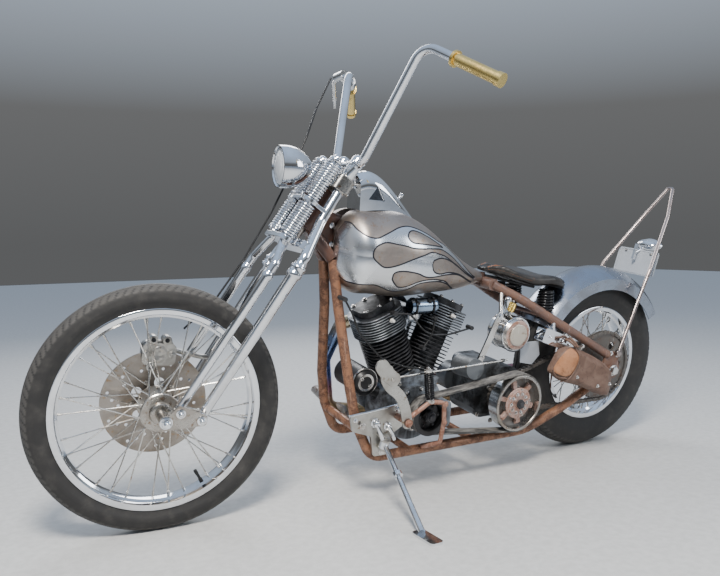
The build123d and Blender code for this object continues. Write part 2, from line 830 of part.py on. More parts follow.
with BuildPart() as fuel_tanks:
    for x, low, high, half in tank_sections:
        with BuildSketch(Plane(origin=(x, 0, 0), x_dir=(0, 1, 0), z_dir=(1, 0, 0))):
            with BuildLine():
                Line((tank_inner_y, low), (tank_inner_y, high))
                ThreePointArc((tank_inner_y, high), (half * 0.84, high - (high - low) * 0.2), (half, (low + high) / 2))
                ThreePointArc((half, (low + high) / 2), (half * 0.86, low + (high - low) * 0.16), (tank_inner_y, low))
            make_face()
    loft()
    rod((1186, 12, 834), (1110, 32, 728), tunnel_radius, mode=Mode.SUBTRACT)
    rod((1122, 31, 760), (1100, 47, 600), tunnel_radius, mode=Mode.SUBTRACT)
    mirror(about=Plane.XZ)

# Cables and plug leads down the engine's left side, each in its own upright plane
cable_radius = 3
fitting_radius = 7
fitting_end = 6

cable_routes = [
    # corners as x and z, bends between them, the plane's y, and the y where each end's fitting starts
    ([(1107, 640), (1082, 600), (1050, 532), (968, 448), (880, 414), (780, 396)], [60, 90, 110, 120], 90, (48, 68)),
    ([(936, 590), (880, 584), (812, 514), (728, 508), (640, 524)], [30, 90, 150, 200], 98, (77, 77)),
    ([(776, 562), (782, 510), (812, 468)], [70], 84, (68, 68)),
]

with BuildPart() as cables:
    for corners, bends, plane_y, starts in cable_routes:
        bent_tube([(x, plane_y, z) for x, z in corners], bends[:len(corners) - 2], cable_radius)
        for (x, z), start in zip((corners[0], corners[-1]), starts):
            rod((x, start, z), (x, plane_y + fitting_end, z), fitting_radius)
    add(cradle_tubes.part, mode=Mode.SUBTRACT)

dash_sections = [
    # x, foot z, shoulder z, top z, half width
    (1046, 886, 950, 996, 40),
    (990, 886, 952, 1003, 47),
    (930, 880, 918, 962, 44),
    (872, 866, 882, 904, 34),
    (838, 856, 860, 868, 22),
]
dash_recess_y = 40

with BuildPart() as dash:
    for x, foot, shoulder, top, half in dash_sections:
        with BuildSketch(Plane(origin=(x, 0, 0), x_dir=(0, 1, 0), z_dir=(1, 0, 0))):
            with BuildLine():
                Polyline((-half, shoulder), (-half, foot), (half, foot), (half, shoulder))
                ThreePointArc((half, shoulder), (0, top), (-half, shoulder))
            make_face()
    loft()
    for side in (1, -1):
        with BuildSketch(Plane.XZ.offset(-side * dash_recess_y)):
            with BuildLine():
                Polyline((990, 968), (1022, 924), (964, 920), close=True)
            make_face()
            fillet(vertices(), 3)
        extrude(amount=-side * 20, mode=Mode.SUBTRACT)
    rod((990, 0, 840), (990, 0, 890), 14)
    add(fuel_tanks.part, mode=Mode.SUBTRACT)
    add(backbone.part, mode=Mode.SUBTRACT)

# Solo seat and its spring stacks
seat_sections = [
    # x, lowest z, highest z, half width
    (545, 697, 712, 20),
    (505, 687, 716, 44),
    (455, 646, 702, 86),
    (390, 626, 685, 113),
    (310, 620, 681, 120),
    (240, 628, 664, 98),
    (200, 643, 655, 50),
]

with BuildPart() as seat:
    for x, low, high, half in seat_sections:
        with BuildSketch(Plane(origin=(x, 0, 0), x_dir=(0, 1, 0), z_dir=(1, 0, 0))):
            edge = low + (high - low) * 0.3
            with BuildLine():
                Polyline((-half, edge), (-half * 0.9, low), (half * 0.9, low), (half, edge))
                ThreePointArc((half, edge), (0, high), (-half, edge))
            make_face()
    loft()

seat_spring_x = 312
seat_spring_y = 82
seat_spring_low = 560
seat_spring_coils = 7
seat_spring_pitch = 8

with BuildPart() as seat_springs:
    for side in (1, -1):
        for turn in range(seat_spring_coils):
            with Locations((seat_spring_x, side * seat_spring_y, seat_spring_low + turn * seat_spring_pitch)):
                Torus(22, 4.4)
        rod((seat_spring_x, side * seat_spring_y, 530), (seat_spring_x, side * seat_spring_y, 634), 18)
    add(rear_stays.part, mode=Mode.SUBTRACT)
    add(seat.part, mode=Mode.SUBTRACT)

with BuildPart() as rear_fender:
    shoulder = fender_skirt + fender_side
    with BuildSketch(Plane.XY):
        with BuildLine():
            Polyline((shoulder, -fender_half), (fender_skirt, -fender_half), (fender_skirt, -fender_half + fender_wall),
                     (shoulder, -fender_half + fender_wall))
            ThreePointArc(
                (shoulder, -fender_half + fender_wall), (fender_crown - fender_wall, 0),
                (shoulder, fender_half - fender_wall),
            )
            Polyline((shoulder, fender_half - fender_wall), (fender_skirt, fender_half - fender_wall),
                     (fender_skirt, fender_half), (shoulder, fender_half))
            ThreePointArc((shoulder, fender_half), (fender_crown, 0), (shoulder, -fender_half))
        make_face()
    revolve(axis=Axis.Y, revolution_arc=fender_rear - fender_front)

# Sissy bar: a pointed arch of bent rod behind the fender
sissy_half = [(-22, 139, 392), (-130, 116, 600), (-175, 108, 690), (-310, 52, 885), (-372, 10, 990)]

with BuildPart() as sissy_bar:
    for side in (1, -1):
        bent_tube([(x, side * y, z) for x, y, z in sissy_half], [200, 200, 150], 6.5)
        rod((-124, side * fender_half, 592), (-124, side * 117, 592), 7)
    with BuildSketch(Plane.XZ.offset(-12)):
        with Locations((-376, 994)):
            Circle(8)
    extrude(amount=24)
    rod((-203, -94, 736), (-203, 94, 736), 5)

with BuildPart() as tail_light:
    rod((-280, -50, 770), (-280, 50, 770), 22)
    with BuildSketch(Plane(origin=(-224, 0, 705), x_dir=(0, 1, 0), z_dir=(-0.97, 0, -0.24))):
        RectangleRounded(188, 98, 8)
    extrude(amount=3)
    rod((-280, 0, 768), (-206, 0, 742), 8)
    add(sissy_bar.part, mode=Mode.SUBTRACT)

# Side stand, swung out: it turns on a leaning pin in the bracket and ends on the ground
stand_pivot = (985, 162, 206)
stand_foot_ground = (1026, 446)
stand_axis = Vector(-0.05, 0.3, 0.95).normalized()
stand_pin_radius = 6
stand_eye_half = 12
stand_play = 0.6


def parked_place():
    """Lean, pitch and lift that put both tyres on the ground."""
    lean = Rot(-parked_lean, 0, 0)
    front = fork_plane.location * Rot(0, 0, parked_steer)
    pitch = 0.0

    def lowest(place, radius, section):
        centre = place.position
        axis = (place * Pos(0, 1, 0)).position - centre
        ring = radius - section
        return centre.Z - ring * math.sqrt(1 - axis.Z * axis.Z) - section

    for _ in range(8):
        tilt = lean * Rot(0, pitch, 0)
        front_low = lowest(tilt * front * Pos(axle_lead, 0, 0), front_radius, front_section)
        rear_low = lowest(tilt * Pos(0, 0, rear_radius), rear_radius, rear_section)
        pitch += math.degrees(math.asin((front_low - rear_low) / wheelbase))
    tilt = lean * Rot(0, pitch, 0)
    rear_low = lowest(tilt * Pos(0, 0, rear_radius), rear_radius, rear_section)
    return Pos(0, 0, -rear_low) * tilt


upright_to_parked = parked_place()
parked_to_upright = upright_to_parked.inverse()
stand_foot_place = parked_to_upright * Pos(stand_foot_ground[0], stand_foot_ground[1], 0)
stand_ankle = (parked_to_upright * Pos(stand_foot_ground[0], stand_foot_ground[1], 10)).position
stand_pin_plane = Plane(origin=stand_pivot, x_dir=Vector(0, 1, 0).cross(stand_axis), z_dir=stand_axis)

with BuildPart() as side_stand:
    ankle = tuple(stand_ankle)
    with BuildSketch(stand_pin_plane.offset(-stand_eye_half)):
        Circle(15)
    extrude(amount=2 * stand_eye_half)
    rod(stand_pivot, ankle, 7.5, 10)
    rod(along(stand_pivot, ankle, 0.36), along(stand_pivot, ankle, 0.4), 15)
    with BuildSketch(Plane(stand_foot_place)):
        with Locations((0, 26)):
            RectangleRounded(40, 100, 12)
    extrude(amount=7)
    with BuildSketch(stand_pin_plane.offset(-stand_eye_half - 20)):
        Circle(stand_pin_radius + stand_play)
    extrude(amount=2 * stand_eye_half + 40, mode=Mode.SUBTRACT)

# Left controls: bracket plate, foot clutch with its rod, return spring and rusty arm
bracket_y = 134
bracket_wall = 8
bracket_hole = (1064, bracket_y + bracket_wall / 2, 275)
bracket_hole_radius = 6

with BuildPart() as stand_bracket:
    with BuildSketch(Plane.XZ.offset(-bracket_y)):
        with BuildLine():
            Polyline(
                (1096, 300), (933, 314), (896, 286), (902, 250), (950, 222), (958, 160),
                (1010, 160), (1022, 226), (1086, 250), close=True,
            )
        make_face()
        fillet(vertices(), 10)
    extrude(amount=-bracket_wall)
    with Locations(bracket_hole):
        Cylinder(bracket_hole_radius, 20, rotation=(90, 0, 0), mode=Mode.SUBTRACT)
    rod((1052, 100, 262), (1052, bracket_y, 262), 14)
    rod((980, rail_y, 172), (980, bracket_y, 172), 12)
    for low in (stand_eye_half + stand_play, -stand_eye_half - stand_play - 7):
        with BuildSketch(stand_pin_plane.offset(low)):
            Circle(16)
            with Locations((0, -13)):
                Rectangle(32, 26)
        extrude(amount=7)
    with BuildSketch(stand_pin_plane.offset(-stand_eye_half - 12)):
        Circle(stand_pin_radius)
    extrude(amount=2 * stand_eye_half + 24)
    add(cradle_tubes.part, mode=Mode.SUBTRACT)

clutch_spring_low = (849, 190, 336)
clutch_spring_high = (863, 190, 430)
clutch_spring_coils = 13

with BuildPart() as clutch_pedal:
    with BuildSketch(Plane.XZ.offset(-196)) as pedal:
        with BuildLine():
            FilletPolyline((1030, 458), (1010, 402), (956, 362), (931, 272), radius=34)
        trace(line_width=34)
        with Locations((1016, 438)):
            SlotOverall(76, 48, rotation=-40)
    extrude(amount=-8)
    cross_rod(931, 278, 142, 208, 11)
    rod((1000, 190, 420), (500, 128, 412), 4)
    rod((1000, 190, 420), (1000, 200, 420), 6)
    rod(clutch_spring_low, clutch_spring_high, 9)
    spring_plane = Plane(
        origin=clutch_spring_low,
        z_dir=Vector(*clutch_spring_high) - Vector(*clutch_spring_low),
    )
    for turn in range(clutch_spring_coils):
        with Locations(spring_plane.offset(4 + turn * 7)):
            Torus(11, 3)
    bent_tube(
        [(931, 200, 286), (850, 192, 330), (802, 200, 326), (797, 200, 262), (802, 194, 192), (822, 138, 162), (822, 120, 154)],
        [20, 16, 40, 20, 8],
        8,
    )
    add(cradle_tubes.part, mode=Mode.SUBTRACT)
    add(stand_bracket.part, mode=Mode.SUBTRACT)

with BuildPart() as foot_pegs:
    rod((960, -112, 172), (960, -150, 210), 12)
    rod((960, -146, 208), (1000, -176, 222), 11)
    rod((1000, -172, 222), (1000, -285, 236), 15)
    add(cradle_tubes.part, mode=Mode.SUBTRACT)
    add(exhaust.part, mode=Mode.SUBTRACT)

# Everything is leaned onto the stand and moved so that the origin is under the middle of its box
fork_place = fork_plane.location * Rot(0, 0, parked_steer)
front_wheel_place = fork_place * Pos(axle_lead, 0, 0)
rear_wheel_place = Pos(0, 0, rear_radius)
engine_place = Pos(crank_x, 0, crank_z)
upright = Location()

# Node name, piece and its place on the upright bike
pieces = [
    ("front_tyre", front_tyre, front_wheel_place),
    ("front_wire_wheel", front_wire_wheel, front_wheel_place),
    ("front_disc", front_disc, front_wheel_place),
    ("rear_tyre", rear_tyre, rear_wheel_place),
    ("rear_wire_wheel", rear_wire_wheel, rear_wheel_place),
    ("rear_sprocket", rear_sprocket, rear_wheel_place),
    ("fork_legs", fork_legs, fork_place),
    ("spring_legs", spring_legs, fork_place),
    ("front_axle", front_axle, fork_place),
    ("fork_springs", fork_springs, fork_place),
    ("headlight", headlight, fork_place * lamp_plane.location),
    ("headlight_lens", headlight_lens, fork_place * lamp_plane.location),
    ("handlebar", handlebar, fork_place),
    ("grips", grips, fork_place),
    ("brake_lever", brake_lever, fork_place),
    ("brake_line", brake_line, fork_place),
    ("caliper", caliper, fork_place),
    ("backbone", backbone, upright),
    ("cradle_tubes", cradle_tubes, upright),
    ("rear_stays", rear_stays, upright),
    ("crankcase", crankcase, engine_place),
    ("front_cylinder", cylinders["front_cylinder"][0], cylinders["front_cylinder"][1]),
    ("rear_cylinder", cylinders["rear_cylinder"][0], cylinders["rear_cylinder"][1]),
    ("intake", intake, upright),
    ("exhaust", exhaust, upright),
    ("cables", cables, upright),
    ("generator", generator, upright),
    ("gearbox", gearbox, upright),
    ("front_pulley", front_pulley, upright),
    ("clutch_drum", clutch_drum, upright),
    ("primary_belt", primary_belt, upright),
    ("drive_chain", drive_chain, upright),
    ("oil_tank", oil_tank, upright),
    ("battery_box", battery_box, upright),
    ("tool_bag", tool_bag, upright),
    ("fuel_tanks", fuel_tanks, upright),
    ("dash", dash, upright),
    ("seat", seat, upright),
    ("seat_springs", seat_springs, upright),
    ("rear_fender", rear_fender, rear_wheel_place * Rot(0, -fender_rear, 0)),
    ("sissy_bar", sissy_bar, upright),
    ("tail_light", tail_light, upright),
    ("stand_bracket", stand_bracket, upright),
    ("clutch_pedal", clutch_pedal, upright),
    ("foot_pegs", foot_pegs, upright),
    ("side_stand", side_stand, upright),
]

parked = [(name, piece.part.moved(upright_to_parked * place)) for name, piece, place in pieces]
box = Compound([solid for name, solid in parked]).bounding_box()
under_middle = Pos(-(box.min.X + box.max.X) / 2, -(box.min.Y + box.max.Y) / 2, -box.min.Z)

for name, solid in parked:
    solid = solid.moved(under_middle)
    solid.label = name
    export_step(solid, f"parts/{name}.step")
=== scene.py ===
import bpy
import json
import math
import numpy as np
from mathutils import Matrix, Vector
from mathutils.bvhtree import BVHTree


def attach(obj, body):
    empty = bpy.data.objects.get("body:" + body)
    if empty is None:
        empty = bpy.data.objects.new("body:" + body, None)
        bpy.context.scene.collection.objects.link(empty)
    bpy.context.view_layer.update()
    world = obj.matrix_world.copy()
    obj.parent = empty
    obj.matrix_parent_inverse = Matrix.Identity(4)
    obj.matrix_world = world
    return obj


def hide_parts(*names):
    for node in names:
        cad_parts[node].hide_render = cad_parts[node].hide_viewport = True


# Looks for a rigid-frame chopper with a springer fork, parked on its side stand.
# Sizes are in millimetres in the CAD's own upright and fork coordinates,
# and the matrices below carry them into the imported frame, which is in metres.

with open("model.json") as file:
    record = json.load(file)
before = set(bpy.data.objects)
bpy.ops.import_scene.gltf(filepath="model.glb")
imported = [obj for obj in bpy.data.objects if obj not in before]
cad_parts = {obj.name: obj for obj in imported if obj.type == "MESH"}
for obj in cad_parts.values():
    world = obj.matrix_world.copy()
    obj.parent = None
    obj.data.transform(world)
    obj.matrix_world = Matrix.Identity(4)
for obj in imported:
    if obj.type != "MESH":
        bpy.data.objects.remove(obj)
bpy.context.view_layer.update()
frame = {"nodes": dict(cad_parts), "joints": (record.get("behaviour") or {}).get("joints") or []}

# The CAD's driving dimensions
wheelbase = 1620
front_radius = 343
rear_radius = 330
rake = math.radians(34)
axle_lead = 60
axis_x = wheelbase - axle_lead * math.cos(rake)
axis_z = front_radius - axle_lead * math.sin(rake)
ahead_axis, left_axis, up_axis = (1, 0, 0), (0, 1, 0), (0, 0, 1)
millimetre = 0.001

joints = {joint["name"]: joint for joint in frame["joints"]}


def joint_line(name):
    """Point and direction of a joint's axis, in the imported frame."""
    return Vector(joints[name]["pos_m"]), Vector(joints[name]["axis"]).normalized()


def place_of(origin, ahead, left):
    """Matrix from millimetres along ahead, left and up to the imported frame."""
    up = ahead.cross(left)
    turn = Matrix((ahead, left, up)).transposed().to_4x4()
    return Matrix.Translation(origin) @ turn @ Matrix.Scale(millimetre, 4)


steer_point, steer_up = joint_line("steering")
front_hub = joint_line("front_roll")[0]
rear_hub, rear_left = joint_line("rear_roll")
fork_ahead = (front_hub - steer_point).normalized()
fork_left = steer_up.cross(fork_ahead)
to_steering = (steer_point - rear_hub).normalized()
climb = math.atan2(axis_z - rear_radius, axis_x)
bike_ahead = to_steering * math.cos(climb) - to_steering.cross(rear_left) * math.sin(climb)
places = {
    "fork": place_of(steer_point, fork_ahead, fork_left),
    "front_wheel": place_of(front_hub, fork_ahead, fork_left),
    "rear_wheel": place_of(rear_hub, bike_ahead, rear_left),
}
bike = places["frame"] = places["rear_wheel"] @ Matrix.Translation((0, 0, -rear_radius))
from_bike = bike.inverted()


# Shapes are gathered as points and faces, in the coordinates of the place they are made in


def turns(count, first=0.0):
    """Angles evenly round a full turn, in radians."""
    return [math.tau * index / count + first for index in range(count)]


def around(count, radius, x=0, z=0, first=0.0):
    """Pairs of coordinates evenly round a centre."""
    return [(x + radius * math.cos(turn), z + radius * math.sin(turn)) for turn in turns(count, first)]


def circle_at(centre, side, up, radius, steps):
    """Points round a centre, in the plane of two directions."""
    return [centre + side * radius * math.cos(turn) + up * radius * math.sin(turn) for turn in turns(steps)]


def rounded(points, bends):
    """Corner points of a run, each inner corner replaced by points on its arc."""
    steps = 8
    points = [Vector(point) for point in points]
    line = [points[0]]
    for before, corner, after, bend in zip(points, points[1:], points[2:], bends):
        back = (before - corner).normalized()
        ahead = (after - corner).normalized()
        half = back.angle(ahead) / 2
        if half > math.radians(89):
            line.append(corner)
            continue
        reach = bend / math.tan(half)
        centre = corner + (back + ahead).normalized() * (bend / math.sin(half))
        start = corner + back * reach - centre
        end = corner + ahead * reach - centre
        whole = start.angle(end)
        for step in range(steps + 1):
            part = step / steps
            turned = start * math.sin((1 - part) * whole) + end * math.sin(part * whole)
            line.append(centre + turned / math.sin(whole))
    line.append(points[-1])
    return line


class Shape:
    """Points and faces of a piece."""

    def __init__(self):
        self.points = []
        self.faces = []

    def put(self, points, faces):
        """Add points, and faces that count from the first of them."""
        first = len(self.points)
        self.points += [Vector(point) for point in points]
        self.faces += [[first + index for index in face] for face in faces]
        return self

    def rings(self, rings, joined=False):
        """Skin a row of rings with the same number of points, end to end where it is joined."""
        count = len(rings[0])
        faces = []
        for row in range(len(rings) if joined else len(rings) - 1):
            here = row * count
            there = (row + 1) % len(rings) * count
            for step in range(count):
                following = (step + 1) % count
                faces.append((here + step, here + following, there + following, there + step))
        if not joined:
            faces.append(list(range(count))[::-1])
            faces.append([(len(rings) - 1) * count + step for step in range(count)])
        return self.put([point for ring in rings for point in ring], faces)

    def turned(self, start, profile, steps=48, axis=left_axis, joined=False):
        """Turn a profile of distances along the axis and radii."""
        axis = Vector(axis).normalized()
        side = axis.orthogonal().normalized()
        up = axis.cross(side)
        start = Vector(start)
        rings = [circle_at(start + axis * reach, side, up, radius, steps) for reach, radius in profile]
        return self.rings(rings, joined)

    def rod(self, start, end, radius, last=None, steps=24, edge=0.0):
        """Round bar from start to end, with small rounded edges where edge is given."""
        length = (Vector(end) - Vector(start)).length
        last = last or radius
        profile = [(0, radius), (length, last)]
        if edge:
            slope = edge * 0.3
            profile = [
                (0, radius - edge), (slope, radius - slope), (edge, radius),
                (length - edge, last), (length - slope, last - slope), (length, last - edge),
            ]
        return self.turned(start, profile, steps, Vector(end) - Vector(start))

    def pin(self, x, z, low, high, radius, steps=24, edge=0.0):
        """Round bar across the bike at x and z, from one y to another."""
        return self.rod((x, low, z), (x, high, z), radius, steps=steps, edge=edge)

    def pipe(self, points, bends, radius, steps=20):
        """Round tube along straight runs joined by arcs."""
        return self.along(rounded(points, bends), radius, steps)

    def along(self, line, radius, steps=20):
        """Round tube through every point of a line."""
        closest = 0.01
        line = [Vector(point) for point in line]
        kept = [line[0]]
        for point in line[1:]:
            if (point - kept[-1]).length > closest:
                kept.append(point)
        heading = (kept[1] - kept[0]).normalized()
        side = heading.orthogonal().normalized()
        rings = []
        for index, point in enumerate(kept):
            before = kept[max(index - 1, 0)]
            after = kept[min(index + 1, len(kept) - 1)]
            new_heading = (after - before).normalized()
            side = heading.rotation_difference(new_heading) @ side
            heading = new_heading
            up = heading.cross(side)
            rings.append(circle_at(point, side, up, radius, steps))
        return self.rings(rings)

    def coil(self, start, end, radius, wire, count, sides=8):
        """Helical spring of round wire, at an even pitch from end to end."""
        steps = 20
        start = Vector(start)
        axis = Vector(end) - start
        length = axis.length
        axis.normalize()
        side = axis.orthogonal().normalized()
        up = axis.cross(side)
        line = []
        whole = int(count * steps)
        for index in range(whole + 1):
            turn = math.tau * index / steps
            level = wire + (length - 2 * wire) * (index / whole)
            line.append(start + axis * level + (side * math.cos(turn) + up * math.sin(turn)) * radius)
        return self.along(line, wire, sides)

    def slab(self, outline, origin, thick, right=ahead_axis, normal=up_axis):
        """Flat plate: an outline in right and its square direction, made thick along the normal."""
        right = Vector(right).normalized()
        normal = Vector(normal).normalized()
        up = normal.cross(right)
        low = [Vector(origin) + right * a + up * b for a, b in outline]
        return self.rings([low, [point + normal * thick for point in low]])

    def box(self, centre, size, right=ahead_axis, normal=up_axis):
        """Block with its middle at centre."""
        a, b, c = size[0] / 2, size[1] / 2, size[2]
        start = Vector(centre) - Vector(normal).normalized() * c / 2
        return self.slab([(-a, -b), (a, -b), (a, b), (-a, b)], start, c, right, normal)

    def merged(self, other):
        """Add another shape."""
        return self.put(other.points, other.faces)

    def bolt(self, centre, radius, height, axis=left_axis):
        """Hexagon head on a washer, standing along the axis."""
        axis = Vector(axis).normalized()
        washer = 1.6
        base = Vector(centre) + axis * washer
        self.rod(centre, base, radius * 1.45, steps=20, edge=0.4)
        self.turned(base, [(0, radius), (height - height * 0.18, radius), (height, radius * 0.86)], 6, axis)
        return self.rod(base + axis * height, base + axis * (height + 0.5), radius * 0.6, steps=16)

    def bolts(self, spots, y, radius, height):
        """Hexagon heads facing left, at places in x and z."""
        for x, z in spots:
            self.bolt((x, y, z), radius, height)
        return self

    def acorn(self, centre, radius, axis=left_axis):
        """Domed nut on a washer."""
        axis = Vector(axis).normalized()
        washer = 2
        base = Vector(centre) + axis * washer
        self.rod(centre, base, radius * 1.4, steps=24, edge=0.5)
        self.turned(base, [(0, radius), (radius * 0.7, radius), (radius * 0.75, radius * 0.8)], 6, axis)
        dome = [
            (radius * (0.75 + 0.8 * math.sin(turn)), radius * 0.8 * math.cos(turn))
            for turn in (0.0, 0.35, 0.7, 1.05, 1.4)
        ]
        return self.turned(base, dome, 20, axis)


def soft_box(width, height, corner, steps=5):
    """Outline of a rectangle with round corners."""
    line = []
    for index, (a, b) in enumerate([(1, 1), (-1, 1), (-1, -1), (1, -1)]):
        for step in range(steps + 1):
            turn = math.pi / 2 * (index + step / steps)
            line.append((
                a * (width / 2 - corner) + corner * math.cos(turn),
                b * (height / 2 - corner) + corner * math.sin(turn),
            ))
    return line


bevel_angle = math.radians(38)


def show(name, shape, material, body="frame", smooth=35, bevel=0.0, replaces=()):
    """Make a piece from a shape and let it ride on its body."""
    mesh = bpy.data.meshes.new(name)
    mesh.from_pydata([places[body] @ point for point in shape.points], [], shape.faces)
    mesh.validate()
    mesh.shade_smooth()
    mesh.set_sharp_from_angle(angle=math.radians(smooth))
    piece = bpy.data.objects.new(name, mesh)
    bpy.context.scene.collection.objects.link(piece)
    mesh.materials.append(materials[material])
    if bevel:
        rim = piece.modifiers.new("edges", "BEVEL")
        rim.width = bevel * millimetre
        rim.segments = 2
        rim.limit_method = "ANGLE"
        rim.angle_limit = bevel_angle
        rim.harden_normals = True
    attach(piece, body)
    if replaces:
        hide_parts(*replaces)
    return piece


def store(piece, name, values):
    """Keep a value at every point of a piece, for its material."""
    piece.data.attributes.new(name, "FLOAT", "POINT").data.foreach_set("value", values)


# Materials are node graphs on the principled shader, with object coordinates in metres
materials = {}


class Graph:
    """A node tree and the nodes that are added to it."""

    def __init__(self, tree, coordinates):
        self.nodes = tree.nodes
        self.links = tree.links
        self.where = self.nodes.new("ShaderNodeTexCoord").outputs[coordinates]

    def feed(self, socket, value):
        """Give a socket a colour, a number or another socket."""
        if isinstance(value, bpy.types.NodeSocket):
            self.links.new(value, socket)
        elif isinstance(value, tuple):
            socket.default_value = (*value, 1)
        else:
            socket.default_value = value

    def texture(self, kind, where=None, **inputs):
        """Node that reads coordinates, with inputs set by their names."""
        node = self.nodes.new("ShaderNode" + kind)
        for name, value in inputs.items():
            node.inputs[name].default_value = value
        self.feed(node.inputs["Vector"], where or self.where)
        return node

    def stretched(self, scale):
        """Coordinates scaled differently along each axis."""
        return self.texture("Mapping", Scale=scale).outputs["Vector"]

    def noise(self, scale, detail=6.0, rough=0.6, where=None, warp=0.0):
        """Cloudy mask from 0 to 1."""
        node = self.texture("TexNoise", where, Scale=scale, Detail=detail, Roughness=rough, Distortion=warp)
        return node.outputs["Fac"]

    def height(self):
        """The coordinates' third number."""
        node = self.nodes.new("ShaderNodeSeparateXYZ")
        self.feed(node.inputs[0], self.where)
        return node.outputs["Z"]

    def ramp(self, value, stops, smooth=True):
        """Colours or greys along a value; stops are pairs of place and colour or grey."""
        node = self.nodes.new("ShaderNodeValToRGB")
        node.color_ramp.interpolation = "EASE" if smooth else "LINEAR"
        marks = node.color_ramp.elements
        while len(marks) < len(stops):
            marks.new(0.5)
        for mark, (position, colour) in zip(marks, stops):
            mark.position = position
            mark.color = (*colour, 1) if isinstance(colour, tuple) else (colour, colour, colour, 1)
        self.feed(node.inputs["Fac"], value)
        return node.outputs["Color"]

    def span(self, value, low, high, first=0.0, last=1.0, smooth=True):
        """From one grey or colour to another, as the value goes from low to high."""
        return self.ramp(value, [(low, first), (high, last)], smooth)

    def mixed(self, mask, a, b):
        """Mix two colours, each a tuple or a socket, by a mask that is a number or a socket."""
        node = self.nodes.new("ShaderNodeMix")
        node.data_type = "RGBA"
        for index, value in ((0, mask), (6, a), (7, b)):
            self.feed(node.inputs[index], value)
        return node.outputs[2]

    def maths(self, operation, a, b):
        """Arithmetic on numbers or sockets."""
        node = self.nodes.new("ShaderNodeMath")
        node.operation = operation
        self.feed(node.inputs[0], a)
        self.feed(node.inputs[1], b)
        return node.outputs["Value"]

    def from_line(self, value):
        """How far a stored value is from 0.5, which it has on a drawn line."""
        return self.maths("ABSOLUTE", self.maths("SUBTRACT", value, 0.5), 0.0)

    def attribute(self, name):
        """A value stored on the mesh's points."""
        node = self.nodes.new("ShaderNodeAttribute")
        node.attribute_name = name
        return node.outputs["Fac"]


class Paint(Graph):
    """One material."""

    def __init__(self, name, metallic=0.0):
        self.material = materials[name] = bpy.data.materials.new(name)
        self.material.use_nodes = True
        super().__init__(self.material.node_tree, "Object")
        self.shader = self.nodes["Principled BSDF"]
        self.shader.inputs["Metallic"].default_value = metallic

    def colour(self, value):
        self.feed(self.shader.inputs["Base Color"], value)

    def rough(self, value):
        self.feed(self.shader.inputs["Roughness"], value)

    def bump(self, height, strength, distance):
        node = self.nodes.new("ShaderNodeBump")
        node.inputs["Strength"].default_value = strength
        node.inputs["Distance"].default_value = distance
        self.feed(node.inputs["Height"], height)
        self.feed(self.shader.inputs["Normal"], node.outputs["Normal"])


def plated(name, bright, dull, gloss, haze, spot_from, spots=(0.3, 0.2, 0.12)):
    """Chrome or polished metal with cloudy dulling and a few stained spots."""
    paint = Paint(name, metallic=1.0)
    cloud = paint.noise(14, 5)
    fine = paint.noise(160, 4)
    body = paint.mixed(paint.span(cloud, 0.4, 0.68), bright, dull)
    stain = paint.span(paint.noise(60, 8, 0.7), spot_from, spot_from + 0.06)
    paint.colour(paint.mixed(stain, body, spots))
    paint.rough(paint.span(paint.mixed(0.4, cloud, fine), 0.35, 0.7, gloss, haze))
    paint.bump(fine, 0.03, 0.0005)


def cast(name, light, dark, gloss, haze, metallic, bump=0.35):
    """Sand-cast metal with a grainy skin, and a painted highlight in its light colour on its sharp edges."""
    paint = Paint(name, metallic=metallic)
    cloud = paint.noise(22, 8, 0.65)
    grit = paint.noise(420, 3, 0.5)
    body = paint.mixed(paint.span(cloud, 0.38, 0.66), dark, light)
    body = paint.mixed(paint.span(grit, 0.55, 0.75, last=0.35), body, dark)
    # Painted highlight: sharp edges, found by pointiness, take the light colour
    edges = paint.nodes.new("ShaderNodeNewGeometry").outputs["Pointiness"]
    paint.colour(paint.mixed(paint.span(edges, 0.52, 0.62), body, light))
    paint.rough(paint.span(cloud, 0.3, 0.7, haze, gloss))
    paint.bump(grit, bump, 0.0008)


def rusted(name, paint_colour, rust, bare, wear):
    """Steel whose colour is eaten by rust, with bare streaks."""
    paint = Paint(name, metallic=0.3)
    cloud = paint.noise(26, 10, 0.7, warp=0.6)
    fine = paint.noise(210, 6, 0.7)
    mask = paint.span(paint.mixed(0.35, cloud, fine), wear - 0.05, wear + 0.07)
    body = paint.mixed(mask, paint_colour, rust)
    streak = paint.noise(90, 6, 0.6, where=paint.stretched((1, 1, 0.12)))
    paint.colour(paint.mixed(paint.span(streak, 0.6, 0.72, last=0.7), body, bare))
    paint.rough(paint.span(mask, 0.2, 0.8, 0.35, 0.8))
    paint.bump(paint.mixed(0.5, cloud, fine), 0.25, 0.0006)


